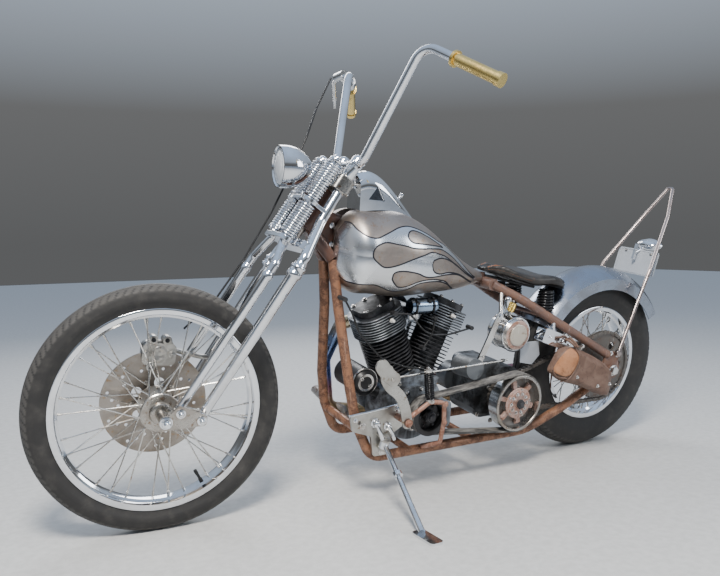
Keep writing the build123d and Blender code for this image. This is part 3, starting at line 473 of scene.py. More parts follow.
# Plated: name, bright and dull colour, two roughnesses, where spots start, and their colour
for row in (
    ("chrome", (0.82, 0.84, 0.87), (0.70, 0.71, 0.73), 0.035, 0.12, 0.74),
    ("old_chrome", (0.70, 0.69, 0.67), (0.48, 0.44, 0.40), 0.12, 0.34, 0.62),
    ("spoke_steel", (0.66, 0.65, 0.62), (0.44, 0.40, 0.35), 0.16, 0.36, 0.6),
    ("polished", (0.74, 0.74, 0.73), (0.52, 0.51, 0.49), 0.12, 0.32, 0.7),
    ("disc_steel", (0.34, 0.31, 0.28), (0.23, 0.195, 0.16), 0.28, 0.46, 0.58),
    ("bar_steel", (0.40, 0.34, 0.32), (0.28, 0.22, 0.20), 0.24, 0.40, 0.70, (0.30, 0.20, 0.15)),
    ("old_steel", (0.42, 0.40, 0.37), (0.30, 0.26, 0.22), 0.22, 0.42, 0.58, (0.20, 0.13, 0.08)),
    ("gold", (0.84, 0.62, 0.22), (0.62, 0.44, 0.15), 0.22, 0.36, 0.68, (0.40, 0.26, 0.10)),
    # The blue of this chrome is a painted sky reflection
    ("blue_chrome", (0.34, 0.44, 0.58), (0.24, 0.30, 0.38), 0.10, 0.24, 0.64),
    # Dark sheets that are painted shade in the dash's recesses
    ("vent_grey", (0.10, 0.11, 0.13), (0.05, 0.055, 0.06), 0.16, 0.30, 0.7),
    ("worn_alloy", (0.50, 0.49, 0.46), (0.38, 0.355, 0.32), 0.26, 0.46, 0.60, (0.24, 0.17, 0.11)),
    ("brass", (0.72, 0.50, 0.14), (0.46, 0.30, 0.08), 0.2, 0.4, 0.58, (0.10, 0.06, 0.02)),
):
    plated(*row)

# Cast: name, light and dark colour, two roughnesses, metallic, and how rough the skin feels
for row in (
    ("black_iron", (0.055, 0.055, 0.06), (0.012, 0.012, 0.013), 0.38, 0.6, 0.5),
    ("black_satin", (0.030, 0.030, 0.032), (0.010, 0.010, 0.010), 0.3, 0.5, 0.4, 0.1),
    ("dark_alloy", (0.17, 0.18, 0.19), (0.035, 0.034, 0.033), 0.4, 0.62, 0.8),
    ("blue_alloy", (0.30, 0.33, 0.37), (0.06, 0.06, 0.062), 0.36, 0.58, 0.85),
    ("black_gloss", (0.022, 0.022, 0.024), (0.010, 0.010, 0.011), 0.12, 0.25, 0.6, 0.03),
    ("plate_paint", (0.40, 0.43, 0.47), (0.31, 0.33, 0.36), 0.35, 0.5, 0.1, 0.04),
    ("plug_white", (0.66, 0.65, 0.62), (0.40, 0.37, 0.33), 0.25, 0.4, 0.0, 0.02),
    ("fin_grey", (0.30, 0.32, 0.35), (0.050, 0.052, 0.056), 0.32, 0.55, 0.85, 0.2),
):
    cast(*row)

# Rusted: name, colour, rust, bare metal, and where the rust starts
for row in (
    ("aged_steel", (0.30, 0.28, 0.26), (0.17, 0.10, 0.06), (0.5, 0.48, 0.45), 0.52),
    ("rust_paint", (0.270, 0.130, 0.072), (0.130, 0.066, 0.044), (0.44, 0.28, 0.20), 0.5),
    # A darker copy of the frame's rust: partly real brown rust, partly painted shade
    ("brown_frame", (0.075, 0.042, 0.034), (0.12, 0.055, 0.035), (0.24, 0.17, 0.14), 0.52),
    ("pale_steel", (0.46, 0.42, 0.36), (0.22, 0.15, 0.09), (0.62, 0.60, 0.56), 0.56),
    ("stay_rust", (0.150, 0.092, 0.074), (0.20, 0.110, 0.078), (0.34, 0.26, 0.23), 0.5),
    ("chain_metal", (0.12, 0.11, 0.10), (0.10, 0.06, 0.04), (0.45, 0.43, 0.40), 0.56),
    ("aged_dark", (0.11, 0.10, 0.09), (0.12, 0.07, 0.05), (0.34, 0.32, 0.30), 0.56),
    ("arm_rust", (0.34, 0.19, 0.14), (0.22, 0.10, 0.065), (0.46, 0.34, 0.29), 0.5),
    ("rust_pink", (0.42, 0.29, 0.25), (0.30, 0.16, 0.11), (0.56, 0.48, 0.44), 0.5),
):
    rusted(*row)


def rubber(name, dark, dust):
    """Tyre rubber, dusty in clouds, and dustier on the tops of its tread than in its grooves."""
    paint = Paint(name)
    cloud = paint.noise(30, 8, 0.65)
    fine = paint.noise(600, 3)
    body = paint.mixed(paint.span(cloud, 0.4, 0.75, last=0.4), dark, dust)
    paint.colour(paint.mixed(paint.span(paint.attribute("tread"), 0.0, 1.0), body, dust))
    paint.rough(paint.span(cloud, 0.3, 0.7, 0.62, 0.85))
    paint.bump(fine, 0.12, 0.0005)


def heat_stained(name):
    """Pipe steel blued near its port, then straw, then dull brown, by its height."""
    paint = Paint(name, metallic=1.0)
    height = paint.height()
    cloud = paint.noise(9, 5, warp=0.4)
    level = paint.maths("ADD", height, paint.maths("MULTIPLY", cloud, 0.12))
    tint = paint.ramp(level, [
        (0.20, (0.34, 0.27, 0.23)), (0.29, (0.42, 0.30, 0.16)), (0.36, (0.30, 0.14, 0.16)),
        (0.44, (0.09, 0.13, 0.34)), (0.53, (0.16, 0.24, 0.42)), (0.60, (0.40, 0.34, 0.22)),
    ])
    soot = paint.span(paint.noise(70, 8, 0.7), 0.55, 0.7, last=0.7)
    paint.colour(paint.mixed(soot, tint, (0.12, 0.08, 0.06)))
    paint.rough(paint.span(paint.noise(30, 6), 0.3, 0.7, 0.2, 0.42))


def leather(name, face, worn, deep, grain, gloss, haze, thread=None):
    """Leather with a pebbled grain, darker creases, paler rubbed places and a sewn double line."""
    paint = Paint(name)
    paint.shader.inputs["Specular IOR Level"].default_value = 0.32
    pebble = paint.texture("TexVoronoi", Scale=grain).outputs["Distance"]
    cloud = paint.noise(18, 8, 0.6, warp=0.5)
    crease = paint.noise(44, 8, 0.75, warp=1.2)
    body = paint.mixed(paint.span(cloud, 0.36, 0.68), face, worn)
    body = paint.mixed(paint.span(crease, 0.52, 0.66, last=0.6), body, deep)
    if thread:
        off = paint.from_line(paint.attribute("stripe"))
        double = paint.ramp(off, [(0.050, 0.0), (0.062, 1.0), (0.100, 1.0), (0.112, 0.0)], smooth=False)
        body = paint.mixed(double, body, thread)
    paint.colour(body)
    paint.rough(paint.span(cloud, 0.3, 0.7, gloss, haze))
    paint.bump(paint.mixed(0.45, pebble, crease), 0.28, 0.0007)


def belted(name, dark, worn):
    """Belt rubber, worn grey in stretched clouds."""
    paint = Paint(name)
    cloud = paint.noise(40, 8, 0.7, where=paint.stretched((0.4, 2.0, 1.0)))
    paint.colour(paint.mixed(paint.span(cloud, 0.4, 0.62), dark, worn))
    paint.rough(0.62)
    paint.bump(cloud, 0.2, 0.0005)


def glass(name, tint, flutes=0.0):
    """Moulded glass, fluted across where flutes is given."""
    paint = Paint(name)
    paint.colour(tint)
    paint.shader.inputs["IOR"].default_value = 1.45
    paint.shader.inputs["Transmission Weight"].default_value = 0.35
    paint.rough(0.06)
    if flutes:
        wave = paint.texture("TexWave", Scale=flutes)
        wave.bands_direction = "Y"
        paint.bump(wave.outputs["Fac"], 0.6, 0.002)


def tank_steel(name):
    """Brushed bright flames on browned steel, with thin dark outlines, from the tank's attribute."""
    paint = Paint(name, metallic=1.0)
    cloud = paint.noise(12, 8, 0.6, warp=0.4)
    fine = paint.noise(220, 5, 0.6)
    brushed = paint.noise(30, 3, 0.5, where=paint.stretched((0.5, 3.0, 3.0)))
    bright = paint.mixed(paint.span(cloud, 0.35, 0.7), (0.80, 0.83, 0.87), (0.72, 0.73, 0.74))
    bright = paint.mixed(paint.span(brushed, 0.5, 0.8, last=0.25), bright, (0.60, 0.61, 0.63))
    patina = paint.mixed(paint.span(cloud, 0.36, 0.64), (0.40, 0.35, 0.31), (0.30, 0.26, 0.235))
    rust = paint.span(paint.mixed(0.3, paint.noise(34, 10, 0.72, warp=0.8), fine), 0.54, 0.63, last=0.8)
    patina = paint.mixed(rust, patina, (0.36, 0.22, 0.13))
    side = paint.attribute("silver")
    flame = paint.span(side, 0.47, 0.53, smooth=False)
    body = paint.mixed(flame, patina, bright)
    line = paint.span(paint.from_line(side), 0.045, 0.066, 1.0, 0.0, smooth=False)
    paint.colour(paint.mixed(line, body, (0.035, 0.036, 0.045)))
    dull, shine = paint.span(cloud, 0.3, 0.7, 0.34, 0.5), paint.span(cloud, 0.3, 0.7, 0.20, 0.30)
    paint.rough(paint.mixed(line, paint.mixed(flame, dull, shine), (0.5, 0.5, 0.5)))
    paint.bump(fine, 0.02, 0.0003)


def fender_steel(name):
    """Bare steel with scattered rust, its colour tinted blue by a painted sky reflection."""
    paint = Paint(name, metallic=1.0)
    cloud = paint.noise(9, 8, 0.62, warp=0.5)
    fine = paint.noise(180, 6, 0.7)
    # Painted reflection: the bluish tone stands for the sky seen in the steel
    body = paint.mixed(paint.span(cloud, 0.36, 0.66), (0.36, 0.405, 0.48), (0.30, 0.31, 0.34))
    rust = paint.span(paint.mixed(0.35, paint.noise(20, 10, 0.75, warp=0.9), fine), 0.56, 0.66, last=0.6)
    paint.colour(paint.mixed(rust, body, (0.34, 0.20, 0.13)))
    paint.rough(paint.span(cloud, 0.3, 0.7, 0.20, 0.34))
    paint.bump(fine, 0.06, 0.0004)


rubber("tyre_rubber", (0.014, 0.0135, 0.0135), (0.085, 0.080, 0.074))
heat_stained("pipe_steel")
belted("belt_rubber", (0.035, 0.034, 0.033), (0.19, 0.18, 0.165))
glass("lens_glass", (0.80, 0.84, 0.88), flutes=40.0)
glass("lamp_red", (0.55, 0.02, 0.02))
tank_steel("tank_metal")
fender_steel("fender_steel_painted_reflection")
for row in (
    ("seat_leather", (0.016, 0.015, 0.015), (0.040, 0.037, 0.034), (0.008, 0.008, 0.008), 700, 0.3, 0.5,
     (0.34, 0.11, 0.03)),
    ("bag_leather", (0.120, 0.068, 0.048), (0.190, 0.122, 0.092), (0.045, 0.025, 0.018), 620, 0.42, 0.62),
    ("flap_leather", (0.33, 0.140, 0.062), (0.42, 0.21, 0.11), (0.13, 0.055, 0.028), 620, 0.45, 0.65),
):
    leather(*row)

# CAD nodes that keep their shape, by their material
dressed = {
    "chrome": "headlight battery_box dash side_stand",
    "old_steel": "front_axle",
    "old_chrome": "oil_tank",
    "polished": "brake_lever clutch_drum",
    "worn_alloy": "caliper stand_bracket",
    "disc_steel": "front_disc",
    "aged_dark": "rear_sprocket",
    "black_satin": "front_pulley generator brake_line cables seat_springs",
    "lens_glass": "headlight_lens",
    "gold": "grips",
    "brown_frame": "backbone",
    "rust_paint": "cradle_tubes",
    "stay_rust": "rear_stays",
    "blue_alloy": "crankcase intake",
    "dark_alloy": "gearbox",
    "black_iron": "front_cylinder rear_cylinder",
    "pipe_steel": "exhaust",
    "belt_rubber": "primary_belt",
    "aged_steel": "foot_pegs clutch_pedal drive_chain",
    "fender_steel_painted_reflection": "rear_fender",
}
for material, names in dressed.items():
    for name in names.split():
        node = frame["nodes"][name]
        if not node.material_slots:
            node.data.materials.append(materials[material])
        for held in node.material_slots:
            held.material = materials[material]

# Wheels: tyres with their tread cut into the crown, rims, hubs and laced spokes


def show_tyre(name, body, node, radius, section, rim_radius, rim_half, pattern):
    """Tyre skin with tread; the attribute tread is above 0 on its worn tops."""
    steps_round, steps_across, wall_steps = 480, 40, 10
    shoulder_half = section * 0.8
    crown_drop = section * 0.34
    wall_grooves = (2, 7)
    full_tread = 2
    shoulder = Vector((radius - crown_drop, shoulder_half, 0))
    start = Vector((rim_radius + 3, rim_half - 3, 0))
    wall = [(rim_radius - 6, rim_half - 5)]
    for step in range(wall_steps):
        part = step / wall_steps
        flat = start.lerp(shoulder, part)
        bulge = math.sin(math.pi * part) * (section - rim_half) * 0.62
        groove = 0.9 if step in wall_grooves else 0.0
        wall.append((flat.x, flat.y + bulge - groove + 2.0 * part * (1 - part)))
    line = [(reach, -y, False) for reach, y in wall]
    for step in range(steps_across + 1):
        s = step / steps_across * 2 - 1
        line.append((radius - crown_drop * (s * s * 0.72 + s ** 4 * 0.28), shoulder_half * s, True))
    line += [(reach, y, False) for reach, y in wall[::-1]]
    rings = []
    marks = []
    for turn in turns(steps_round):
        ring = []
        for reach, y, is_tread in line:
            depth = pattern(turn, y / shoulder_half) if is_tread else 0.0
            ring.append(((reach - depth) * math.cos(turn), y, (reach - depth) * math.sin(turn)))
            marks.append(max(0.0, 1 - depth / full_tread) * 0.55 if is_tread else 0.0)
        rings.append(ring)
    shape = Shape().rings(rings, joined=True)
    piece = show(name, shape, "tyre_rubber", body, smooth=60, replaces=[node])
    store(piece, "tread", marks)


def ribbed(turn, s):
    """Depth of a front tread with three ribs and slanted side cuts."""
    blocks = 60
    depth = 0.0
    if any(abs(s - groove - 0.03 * math.sin(turn * blocks)) < 0.05 for groove in (-0.34, 0.34)):
        depth = 2.2
    if abs(s) > 0.52 and (turn * blocks / math.tau * 1.6 + abs(s) * 1.4) % 1.0 < 0.22:
        depth = 1.8
    return depth


def blocked(turn, s):
    """Depth of a rear tread with zigzag grooves and side cuts."""
    blocks = 44
    depth = 0.0
    zig = abs((turn * blocks / math.tau * 2) % 2 - 1) * 0.12
    if any(abs(s - groove + zig - 0.06) < 0.045 for groove in (-0.62, -0.22, 0.22, 0.62)):
        depth = 2.6
    if abs(s) > 0.74 and (turn * blocks / math.tau * 2 + abs(s)) % 1.0 < 0.24:
        depth = 2.2
    return depth


def rim_profile(radius, half):
    """Closed section of a chromed rim, as distance across and radius."""
    seat = radius - 13
    well = seat - 9
    outer = [(half - 3.5, radius - 2), (half - 3.2, seat), (half * 0.5, seat - 2), (half * 0.36, well)]
    edge = [(half - 2.6, radius), (half - 0.8, radius), (half, radius - 1.2), (half, radius - 6)]
    inner = [
        (half - 1.2, seat - 3), (half * 0.72, seat - 5.5), (half * 0.56, seat - 6.5), (half * 0.42, well - 4),
    ]
    left = [(-y, reach) for y, reach in outer[::-1] + edge + inner]
    return outer + left + [(0, well - 5.5)] + inner[::-1] + edge[::-1]


def spokes(rim_reach, flanges):
    """Laced spokes with their elbows and nipples, from both hub flanges to the rim."""
    shape = Shape()
    each, lean = 20, 52
    for flange_y, flange_radius, offset in flanges:
        for index in range(each):
            angle = math.radians(360 / each * index + offset)
            outer = angle + math.radians((lean if index % 2 else -lean) * 0.62)
            side = flange_y + (2.5 if index % 2 else -2.5)
            start = Vector((flange_radius * math.cos(angle), side, flange_radius * math.sin(angle)))
            end = Vector((rim_reach * math.cos(outer), flange_y * 0.12, rim_reach * math.sin(outer)))
            shape.rod(start, end, 1.9, steps=8)
            shape.rod(end.lerp(start, 0.075), end, 3.1, steps=8)
            shape.rod(start + Vector((0, -4, 0)), start + Vector((0, 4, 0)), 3.0, steps=8)
    return shape


front_rim = (280, 31)
rear_rim = (217, 46)
front_hub_profile = [
    (-56, 12), (-56, 30), (-50, 31), (-50, 49), (-48, 51), (-42, 50), (-38, 34), (-34, 27), (0, 25),
    (28, 27), (33, 46), (37, 52), (45, 53), (47, 50), (48, 38), (52, 31), (57, 22), (58, 12),
]
rear_hub_profile = [
    (-62, 12), (-62, 33), (-54, 36), (-51, 54), (-47, 57), (-42, 55), (-36, 33), (0, 31), (34, 33),
    (38, 58), (41, 61), (48, 92), (50, 98), (62, 101), (66, 99), (68, 60), (70, 38), (70, 12),
]
show_tyre("front_tyre_skin", "front_wheel", "front_tyre", front_radius, 41, *front_rim, ribbed)
show_tyre("rear_tyre_skin", "rear_wheel", "rear_tyre", rear_radius, 63.5, *rear_rim, blocked)
for end, rim, rim_steps, flanges, profile, hub_steps, hub_material in (
    ("front", front_rim, 160, [(43, 44, 0), (-46, 44, 9)], front_hub_profile, 64, "old_steel"),
    ("rear", rear_rim, 144, [(44, 52, 0), (-45, 50, 9)], rear_hub_profile, 72, "aged_steel"),
):
    body = end + "_wheel"
    rim_shape = Shape().turned((0, 0, 0), rim_profile(*rim), rim_steps, joined=True)
    hub_shape = Shape().turned((0, 0, 0), profile, hub_steps)
    show(end + "_rim", rim_shape, "chrome", body, replaces=[end + "_wire_wheel"])
    show(end + "_spokes", spokes(rim[0] - 24, flanges), "spoke_steel", body)
    show(end + "_hub", hub_shape, hub_material, body)

# Fuel tanks: both halves skinned over the CAD's sections, finely enough to carry the flames

tank_sections = [
    # x, lowest z, highest z, half width
    (562, 662, 692, 38),
    (680, 646, 752, 92),
    (800, 640, 838, 132),
    (940, 636, 894, 152),
    (1030, 648, 893, 146),
    (1094, 674, 874, 116),
    (1120, 716, 838, 62),
]
tank_inner_y = 24


def smooth_through(rows, x):
    """Values at x on a natural cubic curve through the rows' other columns."""
    count = len(rows)
    steps = [rows[i + 1][0] - rows[i][0] for i in range(count - 1)]
    values = []
    for column in range(1, len(rows[0])):
        y = [row[column] for row in rows]
        slope, ratio = [0.0] * count, [0.0] * count
        for i in range(1, count - 1):
            rise = 3 * (y[i + 1] - y[i]) / steps[i] - 3 * (y[i] - y[i - 1]) / steps[i - 1]
            pivot = 2 * (rows[i + 1][0] - rows[i - 1][0]) - steps[i - 1] * ratio[i - 1]
            ratio[i] = steps[i] / pivot
            slope[i] = (rise - steps[i - 1] * slope[i - 1]) / pivot
        bend = [0.0] * count
        for i in range(count - 2, -1, -1):
            bend[i] = slope[i] - ratio[i] * bend[i + 1]
        i = max(k for k in range(count - 1) if k == 0 or rows[k][0] <= x)
        t, h = x - rows[i][0], steps[i]
        lean = (y[i + 1] - y[i]) / h - h * (bend[i + 1] + 2 * bend[i]) / 3
        values.append(y[i] + lean * t + bend[i] * t * t + (bend[i + 1] - bend[i]) / (3 * h) * t ** 3)
    return values


def arc_through(a, b, c):
    """Points on the arc from a through b to c, all in one plane."""
    steps = 72
    (ax, ay), (bx, by), (cx, cy) = a, b, c
    d = 2 * (ax * (by - cy) + bx * (cy - ay) + cx * (ay - by))
    aa, bb, cc = ax * ax + ay * ay, bx * bx + by * by, cx * cx + cy * cy
    ux = (aa * (by - cy) + bb * (cy - ay) + cc * (ay - by)) / d
    uy = (aa * (cx - bx) + bb * (ax - cx) + cc * (bx - ax)) / d
    radius = math.hypot(ax - ux, ay - uy)
    first = math.atan2(ay - uy, ax - ux)
    last = math.atan2(cy - uy, cx - ux)
    while last > first:
        last -= math.tau
    angles = [first + (last - first) * i / steps for i in range(steps + 1)]
    return [(ux + radius * math.cos(angle), uy + radius * math.sin(angle)) for angle in angles]


def tank_outline(x):
    """Outer skin of the left half at x, from its top inner corner round to its bottom one, as y and z."""
    low, high, half = smooth_through(tank_sections, x)
    middle = (half, (low + high) / 2)
    top = arc_through((tank_inner_y, high), (half * 0.84, high - (high - low) * 0.2), middle)
    under = arc_through(middle, (half * 0.86, low + (high - low) * 0.16), (tank_inner_y, low))
    return top + under[1:]


def tank_point(x, percent):
    """Point of the left half's skin at x and a percentage from its top to its bottom."""
    x = min(max(x, 563), 1119)
    line = tank_outline(x)
    place = min(max(percent, 0), 100) / 100 * (len(line) - 1)
    index = min(int(place), len(line) - 2)
    part = place - index
    a, b = line[index], line[index + 1]
    return tuple(Vector((x, a[0] + (b[0] - a[0]) * part, a[1] + (b[1] - a[1]) * part)))


def flowing(points, steps=8, closed=False):
    """Smooth line through points."""
    count = len(points)
    line = []
    for index in range(count if closed else count - 1):
        near = range(index - 1, index + 3)
        a, b, c, d = (points[k % count if closed else min(max(k, 0), count - 1)] for k in near)
        for step in range(steps):
            t = step / steps
            line.append(tuple(
                (2 * q + (r - p) * t + (2 * p - 5 * q + 4 * r - s) * t * t
                 + (3 * q - p - 3 * r + s) * t ** 3) / 2
                for p, q, r, s in zip(a, b, c, d)
            ))
    return line if closed else line + [tuple(points[-1])]


# Flame lines on the tank: pairs of x and percentage from top to bottom
upper, lower, large_top, large_low, right_top, right_low, under_top, under_low = (flowing(line) for line in (
    [(1100, 10), (1092, 17), (1085, 27), (1068, 34), (1038, 36), (1007, 33), (982, 30), (957, 27), (927, 25),
     (898, 25), (856, 26), (807, 27), (763, 24), (723, 24), (690, 30), (652, 41), (615, 52)],
    [(1119, 92), (1100, 84), (1089, 78), (1067, 73), (1034, 72), (999, 75), (965, 78), (933, 76), (911, 73),
     (891, 69), (863, 67), (827, 66), (790, 66), (751, 69), (714, 77)],
    [(1054, 48), (1051, 45), (1040, 42), (1023, 40), (1004, 39), (976, 40), (947, 41), (917, 42), (878, 41),
     (832, 38), (798, 35), (763, 34), (729, 35), (697, 40), (652, 47), (618, 53)],
    [(1054, 48), (1051, 51), (1038, 54), (1018, 57), (997, 57), (969, 55), (939, 52), (908, 49), (879, 46),
     (845, 42), (814, 41), (781, 40), (747, 41), (705, 43), (638, 52), (618, 55)],
    [(844, 52), (840, 49), (829, 47), (805, 44), (771, 42), (736, 42), (693, 45), (634, 53), (618, 56)],
    [(844, 52), (839, 56), (825, 58), (802, 58), (770, 55), (736, 53), (699, 53), (659, 58), (628, 66)],
    [(982, 66), (982, 62), (973, 60), (954, 59), (929, 59), (895, 60), (867, 62), (838, 62), (804, 60),
     (769, 57), (730, 54), (699, 54), (659, 59), (628, 67)],
    [(982, 66), (971, 69), (955, 72), (938, 72), (917, 70), (894, 67), (866, 65), (834, 64), (799, 64),
     (763, 66), (714, 78)],
))
small = flowing([
    (932, 33), (925, 30), (909, 28), (885, 28), (856, 29), (823, 30), (786, 31),
    (829, 35), (866, 37), (898, 38), (918, 38), (931, 36),
], closed=True)
flame_area = upper + [(600, 60)] + lower[::-1] + [(1125, 92), (1125, 10)]
flame_gaps = [
    small, large_top + large_low[::-1], right_top + right_low[::-1],
    under_top + [(600, 80)] + under_low[::-1],
]
flame_lines = [
    upper, lower, small + small[:1], large_top, large_low, right_top, right_low, under_top, under_low,
]


def in_outline(x, percent, outline):
    """Whether a place is inside a closed outline."""
    inside = False
    for (x0, a0), (x1, a1) in zip(outline, outline[1:] + outline[:1]):
        if (a0 > percent) != (a1 > percent) and x < x0 + (x1 - x0) * (percent - a0) / (a1 - a0):
            inside = not inside
    return inside


def nearest_line(points):
    """Distance in millimetres from each point to the nearest flame line."""
    best = np.full(len(points), 1e9)
    for flat_line in flame_lines:
        line = np.array([tank_point(x, percent) for x, percent in flat_line])
        for a, b in zip(line, line[1:]):
            run = b - a
            part = np.clip((points - a) @ run / max(float(run @ run), 1e-9), 0, 1)
            best = np.minimum(best, np.linalg.norm(points - a - part[:, None] * run, axis=1))
    return best


tank_along = 196
outline_reach = 40
tank_rings = []
tank_facts = []
for index in range(tank_along + 1):
    x = tank_sections[0][0] + (tank_sections[-1][0] - tank_sections[0][0]) * index / tank_along
    line = tank_outline(x)
    low, high = line[-1][1], line[0][1]
    line_in = [(tank_inner_y, low + (high - low) * part) for part in (0.25, 0.5, 0.75)]
    tank_rings.append([Vector((x, y, z)) for y, z in line + line_in])
    tank_facts += [(x, 100 * k / (len(line) - 1)) for k in range(len(line))] + [None] * len(line_in)
tank = Shape().rings(tank_rings)
flame_marks = []
for fact, distance in zip(tank_facts, nearest_line(np.array([tuple(point) for point in tank.points]))):
    if fact is None:
        flame_marks.append(0.0)
        continue
    bright = in_outline(*fact, flame_area) and not any(in_outline(*fact, gap) for gap in flame_gaps)
    flame_marks.append(min(max(0.5 + (distance if bright else -distance) / outline_reach, 0.0), 1.0))
tank.merged(Shape().put([(p.x, -p.y, p.z) for p in tank.points], [face[::-1] for face in tank.faces]))
tank_piece = show("flamed_tanks", tank, "tank_metal", smooth=50, replaces=["fuel_tanks"])
store(tank_piece, "silver", flame_marks + flame_marks)

# Springs as true coils
fork_coils = Shape()
seat_coils = Shape()
seat_coil_turns, seat_coil_steps = 6.5, 24
post_x, post_y = 312, 82
for side in (1, -1):
    fork_coils.coil((40, side * 56, 587), (40, side * 56, 694), 23.2, 3.2, 12.5)
    fork_coils.coil((40, side * 56, 712), (40, side * 56, 833), 20.6, 3.0, 14)
    post = Vector((post_x, side * post_y, 0))
    line = []
    for index in range(int(seat_coil_turns * seat_coil_steps) + 1):
        part = index / (seat_coil_turns * seat_coil_steps)
        turn = math.tau * index / seat_coil_steps
        reach = 29 - 6 * part
        line.append(post + Vector((reach * math.cos(turn), reach * math.sin(turn), 566 + 62 * part)))
    seat_coils.along(line, 4.2, 10)
    for low, high, radius, steps, edge in (
        (534, 632, 9, 20, 0), (556, 561, 27, 32, 1), (629, 633, 25, 32, 1),
    ):
        ends = [(post_x, side * post_y, z) for z in (low, high)]
        seat_coils.rod(*ends, radius, steps=steps, edge=edge)
show("fork_coils", fork_coils, "chrome", "fork", smooth=60, replaces=["fork_springs"])
show("seat_coils", seat_coils, "black_gloss", smooth=50, replaces=["seat_springs"])

# Seat: a thin leather pad with a rolled rim on a dished pan, swelled as cloth
seat_sections = [
    # x, lowest z, highest z, half width
    (190, 641, 652, 12),
    (240, 628, 664, 98),
    (310, 620, 681, 120),
    (390, 626, 685, 113),
    (455, 646, 702, 86),
    (505, 687, 716, 44),
    (545, 697, 712, 20),
]
seat_rear_x = 310
seat_rear_radius = 120
pad_first, pad_last, pad_steps = 190.5, 545, 64
pad_depth = 30


def seat_section(x):
    """Lowest and highest z and half width of the seat at x; its rear is round in plan."""
    low, high, half = smooth_through(seat_sections, x)
    if x < seat_rear_x:
        half = math.sqrt(max(seat_rear_radius ** 2 - (seat_rear_x - x) ** 2, 0.0))
    return max(low, high - pad_depth), high, max(half, 4.0)


def pad_ring(x):
    """Closed outline of the pad at x."""
    under, high, half = seat_section(x)
    slim = min(1.0, half / 40)
    side = [
        (0.0, under + 9 * slim), (0.5, under + 5 * slim), (0.86, under), (0.975, under + 5),
        (1.0, high - 15), (0.985, high - 7), (0.93, high - 1.5), (0.80, high - 0.5),
        (0.5, high - 4 * slim), (0.0, high - 7 * slim),
    ]
    outline = [(half * a, z) for a, z in side] + [(-half * a, z) for a, z in side[-2:0:-1]]
    return [Vector((x, y, z)) for y, z in flowing(outline, 3, closed=True)]


def mesh_of(piece):
    """The piece's mesh with its modifiers applied."""
    graph = bpy.context.evaluated_depsgraph_get()
    return bpy.data.meshes.new_from_object(piece.evaluated_get(graph))


def places_of(mesh):
    """Vertex places of a mesh as an array."""
    spots = np.zeros(len(mesh.vertices) * 3)
    mesh.vertices.foreach_get("co", spots)
    return spots.reshape(-1, 3)


def swelled(piece, pressure, cap):
    """Swell a soft piece as cloth under pressure, its points held to within the cap, in metres."""
    last_frame = 20
    cloth_grain = 0.005
    material = piece.data.materials[0]
    even = piece.modifiers.new("even", "REMESH")
    even.mode = "VOXEL"
    even.voxel_size = cloth_grain
    piece.data = mesh_of(piece)
    piece.modifiers.clear()
    before = places_of(piece.data)
    cloth = piece.modifiers.new("swell", "CLOTH")
    cloth.settings.use_pressure = True
    cloth.settings.uniform_pressure_force = pressure
    cloth.settings.effector_weights.gravity = 0
    cloth.settings.quality = 6
    cloth.point_cache.frame_start = 1
    cloth.point_cache.frame_end = last_frame
    for step in range(1, last_frame + 1):
        bpy.context.scene.frame_set(step)
    move = places_of(mesh_of(piece)) - before
    piece.modifiers.clear()
    move *= np.minimum(1.0, cap / np.maximum(np.linalg.norm(move, axis=1), 1e-9))[:, None]
    piece.data.vertices.foreach_set("co", (before + move).ravel())
    piece.data.update()
    piece.data.shade_smooth()
    piece.data.materials.clear()
    piece.data.materials.append(material)
    finer = piece.modifiers.new("finer", "SUBSURF")
    finer.levels = 1
    finer.render_levels = 1
    piece.data = mesh_of(piece)
    piece.modifiers.clear()
    bpy.context.scene.frame_set(1)


pad = Shape().rings([
    pad_ring(pad_first + (pad_last - pad_first) * index / pad_steps) for index in range(pad_steps + 1)
])
seat_pad = show("seat_pad", pad, "seat_leather", smooth=70, replaces=["seat"])
swelled(seat_pad, 4.0, 0.004)

# The sewn double line runs inside the rim over the seat's front
stripe_rear, stripe_front, stripe_deep = 396, 530, 16
stripes = []
for vertex in seat_pad.data.vertices:
    x, y, z = from_bike @ vertex.co
    value = 0.0
    if stripe_rear < x < stripe_front:
        under, high, half = seat_section(x)
        if z > high - stripe_deep:
            value = min(max(0.5 + (abs(y) - half + half * 0.34) / outline_reach, 0.0), 1.0)
    stripes.append(value)
store(seat_pad, "stripe", stripes)

pan_first, pan_last, pan_steps = 200, 536, 40
pan_rings = []
for index in range(pan_steps + 1):
    x = pan_first + (pan_last - pan_first) * index / pan_steps
    under, high, half = seat_section(x)
    half *= 0.93
    pan_rings.append([Vector((x, half * math.cos(turn), under + 3.5 * math.sin(turn))) for turn in turns(24)])
pan = Shape().rings(pan_rings)
for side in (1, -1):
    pan.pipe([(530, side * 12, 676), (470, side * 26, 664), (350, side * 60, 640)], [120], 5, steps=12)
    pan.pipe([(524, side * 10, 660), (470, side * 22, 648), (400, side * 34, 640)], [120], 4, steps=12)
show("seat_pan", pan, "black_satin", smooth=50)

